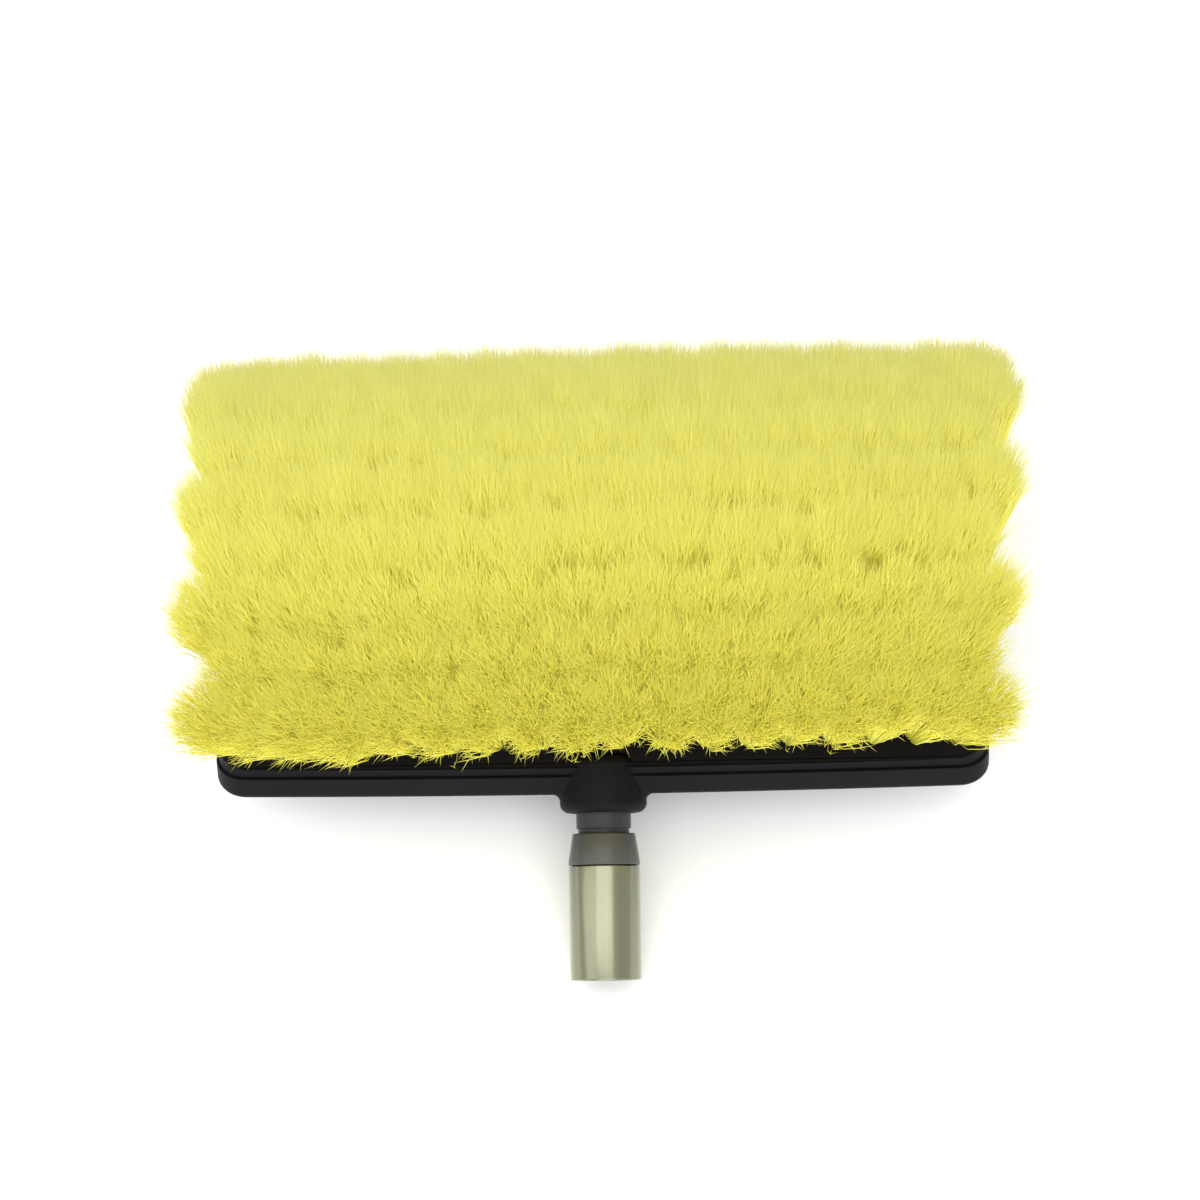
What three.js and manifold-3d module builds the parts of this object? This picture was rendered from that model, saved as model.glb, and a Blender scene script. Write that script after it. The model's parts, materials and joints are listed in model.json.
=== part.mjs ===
// A car wash brush: a flow-through head with fanned bristles on a screw-in metal pole.
// Millimetres, +Z up. The brush lies on its back: the pole's open end and the far back edge
// of the head touch Z = 0, the pole points to -Y and the bristles point up.
import * as THREE from "three";
import { mergeVertices } from "three/addons/utils/BufferGeometryUtils.js";
import Module from "manifold-3d";

const wasm = await Module();
wasm.setup();

// Clearance kept between pieces that meet, and the reach of a cutting shape past what it cuts
const clearance = 0.3;
const overcut = 5;

// Plan of the head
const headLength = 254;
const headDepth = 107;
const cornerRadius = 10;
const smallestCorner = 3;
const sideBow = 1.3;

// Back shell
const shellHeight = 10;
const shellFloor = 2.6;
const backEdgeRound = 3;
const chamberInset = 17;

// The socket's tail on the shell's back: its taper as shares of the socket's radius and the tail's length
const tailLength = 26;
const tailTaper = [[0.8, 0.35], [0.45, 0.75], [0.1, 1]];

// Gasket in the shell's rim
const gasketInset = 12.5;
const gasketWidth = 3;
const gasketHeight = 1.9;

// Tuft plate
const plateInset = 1;
const plateEdgeHeight = 3;
const plateLand = 1;
const plateWall = 6;
const wingDegrees = 28.5;
const centreFacetWidth = 36;
const endDraft = 3.5;
const jetDiameter = 3.2;
const jetSpacing = 40;
const jetCount = 5;
const jetAcross = 6;

// Bristles
const backingThickness = 2.4;
const backingMargin = 1.3;
const backingCorner = 4;
const rowsPerFacet = 3;
const tuftPitch = 13.7;
const tuftWall = 0.4;
const tuftEndMargin = 10;
const shortRowInset = 5;
const bristleLength = 67;
const wingFanDegrees = 6;
const centreFanDegrees = 9;
const endFanDegrees = 11.5;
const strandsPerTuft = 3;
const tuftRootRadius = 2.3;
const tuftTipRadius = 7.3;
const strandShare = 0.44;

// Plate screws
const screwSpacing = 80;
const screwFromFacet = 4;
const screwDiameter = 4;
const screwHeadDiameter = 8;
const screwHeadHeight = 2.4;
const screwHeadSunk = 0.8;
const screwBite = 8.5;
const postWall = 1.5;

// Shares of a screw's sizes: the flat on its crown, the crown's rise and the flat on its point
const crownFlat = 0.7;
const crownRise = 0.4;
const pointFlat = 0.4;

// Socket, measured along the pole from the head's near back edge
const poleDegrees = 41.5;
const axisBehindEdge = 3;
const hubRadius = 14.3;
const hubOverhang = 4.8;
const hubMouthRound = 3.2;
const socketDepth = 16.3;
const socketEndWall = 2.5;
const portDiameter = 4.4;
const portSpacing = 7;
const portFromEdge = 7;

// Screw-in tip
const threadDiameter = 19.05;
const threadLength = 12;
const neckDiameter = 18;
const neckShown = 5.2;
const reliefWidth = 1.6;
const reliefDepth = 0.6;
const collarLength = 10.4;
const collarTopDiameter = 20.6;
const collarRim = 1.2;
const tipBore = 9;
const tipChamfer = 1;
const noseDiameter = 11;
const noseShare = 0.7;
const washerThickness = 2.4;
const washerMargin = 0.8;
const shankLength = 20;
const sealSection = 2.2;
const sealFill = 0.92;

// Pole tube
const tubeDiameter = 23.5;
const tubeWall = 1.2;
const tubeShown = 37.4;

// Facets of round pieces
const roundSegments = 32;
const smallSegments = 12;
const sealSegments = 8;
const cornerSegments = 3;

const radians = THREE.MathUtils.degToRad;
const goldenAngle = Math.PI * (3 - Math.sqrt(5));
const midArc = 1 - Math.SQRT1_2;
const axisX = new THREE.Vector3(1, 0, 0);
const axisY = new THREE.Vector3(0, 1, 0);
const axisZ = new THREE.Vector3(0, 0, 1);

// The pole's frame has the pole along Y, its open end toward -Y.
// The head's frame has X along the block, Y across it away from the pole, Z out of the bristles.
const headFrame = new THREE.Matrix4();
{
  const tilt = radians(poleDegrees);
  const across = headDepth / 2;
  const y = across * Math.cos(tilt) + shellHeight * Math.sin(tilt);
  const z = axisBehindEdge - across * Math.sin(tilt) + shellHeight * Math.cos(tilt);
  headFrame.makeRotationX(-tilt).setPosition(0, y, z);
}
const poleToHead = headFrame.clone().invert();

// A closed geometry, moved by a matrix, as a solid that can be cut and joined
function solidOf(geometry, matrix = new THREE.Matrix4()) {
  const faces = geometry.index ? geometry.toNonIndexed() : geometry;
  const bare = new THREE.BufferGeometry();
  bare.setAttribute("position", faces.getAttribute("position").clone());
  bare.applyMatrix4(matrix);
  const welded = mergeVertices(bare, 1e-4);
  const mesh = new wasm.Mesh({
    numProp: 3,
    vertProperties: welded.getAttribute("position").array,
    triVerts: new Uint32Array(welded.index.array),
  });
  return new wasm.Manifold(mesh);
}

// A solid's surface as a geometry
function geometryOf(solid) {
  const { vertProperties, triVerts } = solid.getMesh();
  const geometry = new THREE.BufferGeometry();
  geometry.setAttribute("position", new THREE.BufferAttribute(vertProperties, 3));
  geometry.setIndex(new THREE.BufferAttribute(triVerts, 1));
  return geometry;
}

// The head's outline seen along Z, drawn in from the edge by an inset
function headOutline(inset) {
  const halfLength = headLength / 2 - inset;
  const far = headDepth / 2 - inset;
  const near = inset + sideBow - headDepth / 2;
  const radius = Math.max(cornerRadius - inset, smallestCorner);
  const outline = new THREE.Shape();
  outline.moveTo(radius - halfLength, near);
  outline.quadraticCurveTo(0, near - 2 * sideBow, halfLength - radius, near);
  outline.absarc(halfLength - radius, near + radius, radius, -Math.PI / 2, 0);
  outline.absarc(halfLength - radius, far - radius, radius, 0, Math.PI / 2);
  outline.absarc(radius - halfLength, far - radius, radius, Math.PI / 2, Math.PI);
  outline.absarc(radius - halfLength, near + radius, radius, Math.PI, 1.5 * Math.PI);
  return outline;
}

// A rectangle with round corners, centred on the origin
function roundedRectangle(length, width, radius) {
  const x = length / 2 - radius;
  const y = width / 2 - radius;
  const outline = new THREE.Shape();
  outline.absarc(x, -y, radius, -Math.PI / 2, 0);
  outline.absarc(x, y, radius, 0, Math.PI / 2);
  outline.absarc(-x, y, radius, Math.PI / 2, Math.PI);
  outline.absarc(-x, -y, radius, Math.PI, 1.5 * Math.PI);
  return outline;
}

// An outline drawn up along Z between two heights
function prism(outline, low, high) {
  const settings = { depth: high - low, bevelEnabled: false, curveSegments: cornerSegments };
  return new THREE.ExtrudeGeometry(outline, settings).translate(0, 0, low);
}

// A polygon of points drawn along the local Z, centred on it
function drawnProfile(points, length) {
  const outline = new THREE.Shape(points.map(([x, y]) => new THREE.Vector2(x, y)));
  return prism(outline, -length / 2, length / 2);
}

// A profile of [radius, height] points turned about Y
function turned(points, segments = roundSegments) {
  return new THREE.LatheGeometry(points.map(([x, y]) => new THREE.Vector2(x, y)), segments);
}

// A straight rod along Z between two heights
function rod(diameter, low, high, x = 0, y = 0, segments = smallSegments) {
  const shape = new THREE.CylinderGeometry(diameter / 2, diameter / 2, high - low, segments);
  return shape.rotateX(Math.PI / 2).translate(x, y, (low + high) / 2);
}

// Everything below a height in the head's frame
function slabBelow(height) {
  const size = 4 * headLength;
  return new THREE.BoxGeometry(size, size, size).translate(0, 0, height - size / 2);
}

// Heights of the tuft plate's facets above the parting plane
const plateHalf = headDepth / 2 - plateInset;
const wingOuter = plateHalf - plateLand;
const wingInner = centreFacetWidth / 2;
const wingSlope = Math.tan(radians(wingDegrees));
const wingLow = clearance + plateEdgeHeight;
const plateTop = wingLow + (wingOuter - wingInner) * wingSlope;
const chamberHalf = headDepth / 2 - chamberInset;
const chamberLength = headLength - 2 * chamberInset;

// Height of the plate's face over a point across the head
function faceHeight(across) {
  return Math.min(plateTop, wingLow + (wingOuter - Math.abs(across)) * wingSlope);
}

// One facet of the plate: its frame has Y across the facet and Z out of it
function facet(side) {
  const middle = side * (wingOuter + wingInner) / 2;
  const height = side === 0 ? plateTop : (wingLow + plateTop) / 2;
  const lean = radians(wingDegrees);
  const width = side === 0 ? centreFacetWidth : (wingOuter - wingInner) / Math.cos(lean);
  const frame = new THREE.Matrix4().makeRotationX(-side * lean).setPosition(0, middle, height);
  return { side, width, frame };
}
const frontFacet = facet(-1);
const centreFacet = facet(0);
const rearFacet = facet(1);

// The socket's stations along the pole
const mouth = -hubOverhang;
const socketFloor = mouth + socketDepth;
const hubEnd = socketFloor + socketEndWall;

// The socket's outside, grown by an offset
function hubProfile(grow) {
  const radius = hubRadius + grow;
  const low = mouth - grow;
  const high = hubEnd + grow;
  const round = hubMouthRound;
  return turned([
    [0, low],
    [radius - round, low],
    [radius - midArc * round, low + midArc * round],
    [radius, low + round],
    [radius, high - round],
    [radius - midArc * round, high - midArc * round],
    [radius - round, high],
    [0, high],
  ]);
}

// The socket's tail on the shell's back, tapering into the flat
const tailShape = turned([
  [0, 0],
  [hubRadius, 0],
  [hubRadius, hubEnd - hubMouthRound],
  ...tailTaper.map(([across, along]) => [across * hubRadius, hubEnd + along * tailLength]),
  [0, hubEnd + tailLength],
]);

// The socket's plain bore; its thread form is a surface detail
const socketBore = turned([
  [0, mouth - overcut],
  [threadDiameter / 2 + clearance, mouth - overcut],
  [threadDiameter / 2 + clearance, socketFloor],
  [0, socketFloor],
]);

// Where the screws stand: two lines of three
const screwAcross = wingInner + screwFromFacet;
const screwPlaces = [];
for (const across of [-screwAcross, screwAcross]) {
  for (const along of [-screwSpacing, 0, screwSpacing]) {
    screwPlaces.push([along, across]);
  }
}
const postDiameter = screwHeadDiameter + 2 * postWall;
const screwHole = screwDiameter + 2 * clearance;
const headSeat = screwHeadHeight + screwHeadSunk - shellHeight;
const chamberFloor = shellFloor - shellHeight;
const midFloor = chamberFloor - shellFloor / 2;

function backShell() {
  const outline = headOutline(0);
  const settings = {
    depth: shellHeight,
    bevelThickness: backEdgeRound,
    bevelSize: backEdgeRound,
    bevelOffset: -backEdgeRound,
    bevelSegments: cornerSegments,
    curveSegments: cornerSegments,
  };
  const block = new THREE.ExtrudeGeometry(outline, settings);
  block.translate(0, 0, backEdgeRound - shellHeight);
  let shell = solidOf(block).intersect(solidOf(slabBelow(0)));
  shell = shell.subtract(solidOf(prism(headOutline(chamberInset), chamberFloor, overcut)));
  const tail = solidOf(tailShape, poleToHead);
  shell = shell.add(tail.intersect(solidOf(slabBelow(midFloor))));
  shell = shell.add(solidOf(hubProfile(0), poleToHead));
  const groove = headOutline(gasketInset - clearance);
  groove.holes.push(headOutline(gasketInset + gasketWidth + clearance));
  shell = shell.subtract(solidOf(prism(groove, -gasketHeight - clearance, overcut)));
  const seat = screwHeadDiameter + 2 * clearance;
  for (const [x, y] of screwPlaces) {
    shell = shell.add(solidOf(rod(postDiameter, midFloor, 0, x, y)));
    shell = shell.subtract(solidOf(rod(screwHole, -2 * shellHeight, overcut, x, y)));
    shell = shell.subtract(solidOf(rod(seat, -2 * shellHeight, headSeat, x, y)));
  }
  shell = shell.subtract(solidOf(socketBore, poleToHead));
  const near = -headDepth / 2;
  const portHeight = chamberFloor + portDiameter / 2 + clearance;
  for (const x of [-portSpacing / 2, portSpacing / 2]) {
    const port = rod(portDiameter, near + portFromEdge, near + chamberInset + overcut);
    shell = shell.subtract(solidOf(port.rotateX(-Math.PI / 2).translate(x, 0, portHeight)));
  }
  return shell;
}

// Water jets through the centre facet, between the tuft rows
function jets() {
  const rods = [];
  for (let index = 0; index < jetCount; index += 1) {
    const along = (index - (jetCount - 1) / 2) * jetSpacing;
    const across = index % 2 === 0 ? jetAcross : -jetAcross;
    rods.push(rod(jetDiameter, -overcut, plateTop + overcut, along, across));
  }
  return rods;
}

// Outline of a facet's backing slice, or of its recess when grown by the clearance
function backingOutline(side, grow) {
  const length = headLength - 2 * (plateInset + endDraft + backingMargin) + 2 * grow;
  const width = side.width - 2 * backingMargin + 2 * grow;
  return roundedRectangle(length, width, backingCorner + grow);
}

// The recess in the plate's face that takes a backing slice
function backingRecess(side) {
  const outline = backingOutline(side, clearance);
  return solidOf(prism(outline, -backingThickness - clearance, overcut), side.frame);
}

function tuftPlate() {
  const across = [
    [-plateHalf, clearance],
    [plateHalf, clearance],
    [plateHalf, wingLow],
    [wingOuter, wingLow],
    [wingInner, plateTop],
    [-wingInner, plateTop],
    [-wingOuter, wingLow],
    [-plateHalf, wingLow],
  ];
  const halfLength = headLength / 2 - plateInset;
  const along = [
    [-halfLength, clearance],
    [halfLength, clearance],
    [halfLength, wingLow],
    [halfLength - endDraft, plateTop + clearance],
    [endDraft - halfLength, plateTop + clearance],
    [-halfLength, wingLow],
  ];
  const lengthwise = new THREE.Matrix4().makeBasis(axisY, axisZ, axisX);
  const crosswise = new THREE.Matrix4().makeBasis(axisX, axisZ, axisY.clone().negate());
  let plate = solidOf(drawnProfile(across, headLength), lengthwise);
  plate = plate.intersect(solidOf(drawnProfile(along, 2 * headDepth), crosswise));
  plate = plate.intersect(solidOf(prism(headOutline(plateInset), 0, 2 * plateTop)));
  const hollow = [
    [-chamberHalf, -overcut],
    [chamberHalf, -overcut],
    [chamberHalf, faceHeight(chamberHalf) - plateWall],
    [wingInner, plateTop - plateWall],
    [-wingInner, plateTop - plateWall],
    [-chamberHalf, faceHeight(chamberHalf) - plateWall],
  ];
  plate = plate.subtract(solidOf(drawnProfile(hollow, chamberLength), lengthwise));
  for (const [x, y] of screwPlaces) {
    plate = plate.add(solidOf(rod(postDiameter, clearance, plateTop - plateWall, x, y)));
    plate = plate.subtract(solidOf(rod(screwHole, -overcut, screwBite + 2 * clearance, x, y)));
  }
  for (const side of [frontFacet, centreFacet, rearFacet]) {
    plate = plate.subtract(backingRecess(side));
  }
  for (const jet of jets()) {
    plate = plate.subtract(solidOf(jet));
  }
  return plate.subtract(solidOf(hubProfile(clearance), poleToHead));
}

// Whether a tuft's hole would run into the socket
function meetsHub(place, frame) {
  const point = place.clone().applyMatrix4(frame).applyMatrix4(headFrame);
  const fromAxis = Math.hypot(point.x, point.z);
  return fromAxis < hubRadius + tuftRootRadius && point.y < hubEnd + tuftRootRadius;
}

// The strands of one tuft, twisted about it: each has a square root and a wider square tip
function tuft(place, lean, twist) {
  const direction = new THREE.Vector3(Math.tan(lean.x), Math.tan(lean.y), 1).normalize();
  const sideways = axisX.clone().projectOnPlane(direction).normalize();
  const upward = direction.clone().cross(sideways);
  const end = place.clone().addScaledVector(direction, bristleLength);
  const square = (centre, first, second, radius, turn) => [0, 1, 2, 3].map((corner) => {
    const angle = turn + (corner + 0.5) * Math.PI / 2;
    const point = centre.clone().addScaledVector(first, radius * Math.cos(angle));
    return point.addScaledVector(second, radius * Math.sin(angle));
  });
  const strands = [];
  for (let index = 0; index < strandsPerTuft; index += 1) {
    const angle = (2 * Math.PI * index) / strandsPerTuft + twist;
    const rootOut = (1 - strandShare) * tuftRootRadius;
    const tipOut = (1 - strandShare) * tuftTipRadius;
    const root = place.clone().addScaledVector(axisX, rootOut * Math.cos(angle));
    root.addScaledVector(axisY, rootOut * Math.sin(angle));
    const tip = end.clone().addScaledVector(sideways, tipOut * Math.cos(angle));
    tip.addScaledVector(upward, tipOut * Math.sin(angle));
    strands.push({
      root: square(root, axisX, axisY, strandShare * tuftRootRadius, angle),
      tip: square(tip, sideways, upward, strandShare * tuftTipRadius, angle),
    });
  }
  return strands;
}

// A tuft's place on its facet; one that would run into the socket stands just behind it
function tuftPlace(along, across, frame) {
  const place = new THREE.Vector3(along, across, 0);
  while (meetsHub(place, frame)) {
    place.y += tuftRootRadius / 4;
  }
  return place;
}

// The strands of a facet's rows; every second row is shorter and stands between its neighbours' tufts
function facetStrands(side, firstRow) {
  const strands = [];
  const reach = headLength / 2 - tuftEndMargin;
  const longRow = Math.floor((2 * reach) / tuftPitch) + 1;
  const rowMargin = tuftRootRadius + backingMargin + tuftWall;
  const rowPitch = (side.width - 2 * rowMargin) / (rowsPerFacet - 1);
  const rowFan = side === centreFacet ? centreFanDegrees : wingFanDegrees;
  for (let row = 0; row < rowsPerFacet; row += 1) {
    const fromMiddle = row - (rowsPerFacet - 1) / 2;
    const isShort = (firstRow + row) % 2;
    const count = longRow - isShort;
    const halfRow = ((longRow - 1) / 2) * tuftPitch - isShort * shortRowInset;
    for (let index = 0; index < count; index += 1) {
      const along = halfRow * ((2 * index) / (count - 1) - 1);
      const place = tuftPlace(along, fromMiddle * rowPitch, side.frame);
      const lean = {
        x: radians((endFanDegrees * along) / reach),
        y: radians(rowFan * fromMiddle),
      };
      strands.push(...tuft(place, lean, goldenAngle * strands.length));
    }
  }
  return strands;
}

// A facet's strands and their backing slice as one skin
function bristles(side, firstRow) {
  const strands = facetStrands(side, firstRow);
  const rim = backingOutline(side, 0).getPoints(cornerSegments);
  const corners = [];
  const face = (...points) => points.forEach((point) => corners.push(point.x, point.y, point.z));
  const raise = (points, height) => points.map((point) => new THREE.Vector3(point.x, point.y, height));
  const top = raise(rim, 0);
  const bottom = raise(rim, -backingThickness);
  const holes = strands.map(({ root }) => root.toReversed());
  const surface = top.concat(...holes);
  for (const [a, b, c] of THREE.ShapeUtils.triangulateShape(rim, holes)) {
    face(surface[a], surface[b], surface[c]);
  }
  for (const [a, b, c] of THREE.ShapeUtils.triangulateShape(rim, [])) {
    face(bottom[c], bottom[b], bottom[a]);
  }
  const wall = (lower, upper) => lower.forEach((point, index) => {
    const next = (index + 1) % lower.length;
    face(point, lower[next], upper[next]);
    face(point, upper[next], upper[index]);
  });
  wall(bottom, top);
  for (const { root, tip } of strands) {
    wall(root, tip);
    face(tip[0], tip[1], tip[2]);
    face(tip[0], tip[2], tip[3]);
  }
  const skin = new THREE.BufferGeometry();
  skin.setAttribute("position", new THREE.Float32BufferAttribute(corners, 3));
  let solid = solidOf(skin, side.frame);
  for (const jet of jets()) {
    solid = solid.subtract(solidOf(jet));
  }
  return solid.subtract(solidOf(hubProfile(2 * clearance), poleToHead));
}

function chamberGasket() {
  const ring = headOutline(gasketInset);
  ring.holes.push(headOutline(gasketInset + gasketWidth));
  return solidOf(prism(ring, -gasketHeight, 0));
}

// A pan-head screw standing in its seat, head down
function plateScrew(x, y) {
  const seat = headSeat - clearance;
  const head = screwHeadDiameter / 2;
  const shank = screwDiameter / 2;
  const shape = turned([
    [0, seat - screwHeadHeight],
    [crownFlat * head, seat - screwHeadHeight],
    [head, seat - (1 - crownRise) * screwHeadHeight],
    [head, seat],
    [shank, seat],
    [shank, screwBite - shank],
    [pointFlat * shank, screwBite],
    [0, screwBite],
  ], smallSegments);
  return shape.rotateX(Math.PI / 2).translate(x, y, 0);
}

// Stations of the screw-in tip along the pole
const washerFar = socketFloor - clearance;
const washerNear = washerFar - washerThickness;
const noseEnd = washerNear + noseShare * washerThickness;
const threadEnd = washerNear - clearance;
const neckStart = threadEnd - threadLength;
const neckEnd = mouth - neckShown;
const collarStart = neckEnd - reliefWidth;
const collarEnd = collarStart - collarLength;
const tubeStart = collarEnd - clearance;
const tubeEnd = tubeStart - tubeShown;
const tubeBore = tubeDiameter - 2 * tubeWall;
const shank = tubeBore / 2 - clearance;
const shankEnd = tubeStart - shankLength;
const sealAt = (tubeStart + shankEnd) / 2;
const sealRoom = sealSection / 2 + clearance;
const sealFloor = shank - sealSection + clearance;

// A shank inside the tube, a collar that tapers from the tube's size to the neck, and the thread
function threadedTip() {
  return turned([
    [tipBore / 2, shankEnd],
    [shank - tipChamfer, shankEnd],
    [shank, shankEnd + tipChamfer],
    [shank, sealAt - sealRoom],
    [sealFloor, sealAt - sealRoom],
    [sealFloor, sealAt + sealRoom],
    [shank, sealAt + sealRoom],
    [shank, collarEnd],
    [tubeDiameter / 2, collarEnd],
    [tubeDiameter / 2, collarEnd + collarRim],
    [collarTopDiameter / 2, collarStart],
    [neckDiameter / 2 - reliefDepth, collarStart],
    [neckDiameter / 2 - reliefDepth, neckEnd],
    [neckDiameter / 2, neckEnd],
    [neckDiameter / 2, neckStart],
    [threadDiameter / 2, neckStart],
    [threadDiameter / 2, threadEnd - tipChamfer],
    [threadDiameter / 2 - tipChamfer, threadEnd],
    [noseDiameter / 2, threadEnd],
    [noseDiameter / 2, noseEnd],
    [tipBore / 2, noseEnd],
    [tipBore / 2, shankEnd],
  ]);
}

function threadWasher() {
  const inner = noseDiameter / 2 + clearance;
  const outer = threadDiameter / 2 - washerMargin;
  return turned([
    [inner, washerNear],
    [outer, washerNear],
    [outer, washerFar],
    [inner, washerFar],
    [inner, washerNear],
  ]);
}

// A round-section ring in the shank's groove, close against the tube
function tipSeal() {
  const radius = (sealFill * sealSection) / 2;
  const middle = sealFloor + clearance + radius * Math.cos(Math.PI / sealSegments);
  const points = [];
  for (let step = 0; step < sealSegments; step += 1) {
    const angle = (2 * Math.PI * (step + 0.5)) / sealSegments;
    points.push([middle + radius * Math.cos(angle), sealAt + radius * Math.sin(angle)]);
  }
  return turned([...points, points[0]]);
}

function poleTube() {
  const outer = tubeDiameter / 2;
  const inner = tubeBore / 2;
  return turned([
    [outer, tubeEnd],
    [outer, tubeStart],
    [inner, tubeStart],
    [inner, tubeEnd],
    [outer, tubeEnd],
  ]);
}

// Finishes
const blackPlastic = { color: 0x17181a, roughness: 0.5, metalness: 0 };
const greyPlastic = { color: 0x45474a, roughness: 0.3, metalness: 0 };
const yellowFibre = { color: 0xe2d94e, roughness: 0.8, metalness: 0 };
const polishedMetal = { color: 0xc9ccce, roughness: 0.25, metalness: 1 };
const steel = { color: 0x9a9ca0, roughness: 0.35, metalness: 1 };
const rubber = { color: 0x101010, roughness: 0.9, metalness: 0 };

function piece(name, geometry, finish) {
  const mesh = new THREE.Mesh(geometry, new THREE.MeshStandardMaterial(finish));
  mesh.name = name;
  return mesh;
}

const head = new THREE.Group();
head.name = "head";
head.applyMatrix4(headFrame);
head.add(piece("back_shell", geometryOf(backShell()), blackPlastic));
head.add(piece("tuft_plate", geometryOf(tuftPlate()), blackPlastic));
head.add(piece("chamber_gasket", geometryOf(chamberGasket()), rubber));
head.add(piece("bristles_front", geometryOf(bristles(frontFacet, 0)), yellowFibre));
head.add(piece("bristles_centre", geometryOf(bristles(centreFacet, rowsPerFacet)), yellowFibre));
head.add(piece("bristles_rear", geometryOf(bristles(rearFacet, 2 * rowsPerFacet)), yellowFibre));
screwPlaces.forEach(([x, y], index) => {
  head.add(piece(`plate_screw_${index + 1}`, plateScrew(x, y), steel));
});

const pole = new THREE.Group();
pole.name = "pole";
pole.add(piece("thread_washer", threadWasher(), rubber));
pole.add(piece("threaded_tip", threadedTip(), greyPlastic));
pole.add(piece("tip_seal", tipSeal(), rubber));
pole.add(piece("pole_tube", poleTube(), polishedMetal));

const brush = new THREE.Group();
brush.name = "car_wash_brush";
brush.add(head, pole);

// The tilt that lays the tube's lower rim and the head's back on one level
function restingTilt() {
  const shell = head.getObjectByName("back_shell");
  const corner = new THREE.Vector3();
  const places = shell.geometry.getAttribute("position");
  let lowest = Math.PI / 2;
  for (let index = 0; index < places.count; index += 1) {
    corner.fromBufferAttribute(places, index).applyMatrix4(headFrame);
    lowest = Math.min(lowest, Math.atan2(corner.z + tubeDiameter / 2, corner.y - tubeEnd));
  }
  return -lowest;
}

brush.rotation.x = restingTilt();
brush.updateMatrixWorld(true);
const extent = new THREE.Box3().setFromObject(brush, true);
const centre = extent.getCenter(new THREE.Vector3());
brush.position.set(0, -centre.y, -extent.min.z);
brush.updateMatrixWorld(true);

export default brush;
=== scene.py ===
"""A car wash brush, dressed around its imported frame.

The head is a black moulded shell under a tuft plate, with nine fanned rows of soft yellow bristles.
A bright pole with a dark screw-in tip leaves the socket at the middle of the head's near edge.
"""
import json
import logging
import math
from collections.abc import Iterable, Sequence
from dataclasses import dataclass, field
from enum import Enum

import bmesh
import bpy
import numpy as np
from mathutils import Matrix, Vector


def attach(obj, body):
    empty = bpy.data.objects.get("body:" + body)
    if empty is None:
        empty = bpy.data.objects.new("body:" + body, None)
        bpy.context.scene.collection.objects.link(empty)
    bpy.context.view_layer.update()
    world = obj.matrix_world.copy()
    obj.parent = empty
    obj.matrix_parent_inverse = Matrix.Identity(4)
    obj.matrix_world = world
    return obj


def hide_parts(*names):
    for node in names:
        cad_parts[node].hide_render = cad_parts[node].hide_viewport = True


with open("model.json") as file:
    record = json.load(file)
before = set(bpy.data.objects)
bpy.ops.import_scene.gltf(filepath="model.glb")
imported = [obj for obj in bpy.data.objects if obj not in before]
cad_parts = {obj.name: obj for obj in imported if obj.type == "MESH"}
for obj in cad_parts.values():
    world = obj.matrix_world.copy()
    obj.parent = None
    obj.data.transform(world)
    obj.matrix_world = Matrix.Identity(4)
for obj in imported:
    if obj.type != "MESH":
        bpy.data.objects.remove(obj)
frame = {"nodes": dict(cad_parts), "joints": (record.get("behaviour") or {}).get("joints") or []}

log = logging.getLogger("car_wash_brush")

MM = 0.001
MERGED = 0.001 * MM
LEVEL = 0.01 * MM
ROUND_STEPS = 72
ROD_STEPS = 32
CORNER_STEPS = 10
AXIS_X = Vector((1.0, 0.0, 0.0))
AXIS_Y = Vector((0.0, 1.0, 0.0))
AXIS_Z = Vector((0.0, 0.0, 1.0))
HEAD_BODY = "head"
POLE_BODY = "pole"


class Facet(Enum):
    """The tuft plate's three faces, each with the side of the head that it leans to."""

    FRONT = -1
    CENTRE = 0
    REAR = 1

    @property
    def node(self) -> str:
        """Name of the CAD node that holds this face's bristles."""
        return f"bristles_{self.name.lower()}"


class Cut(Enum):
    """How one solid is set against another."""

    JOIN = "UNION"
    REMOVE = "DIFFERENCE"
    KEEP = "INTERSECT"


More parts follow.
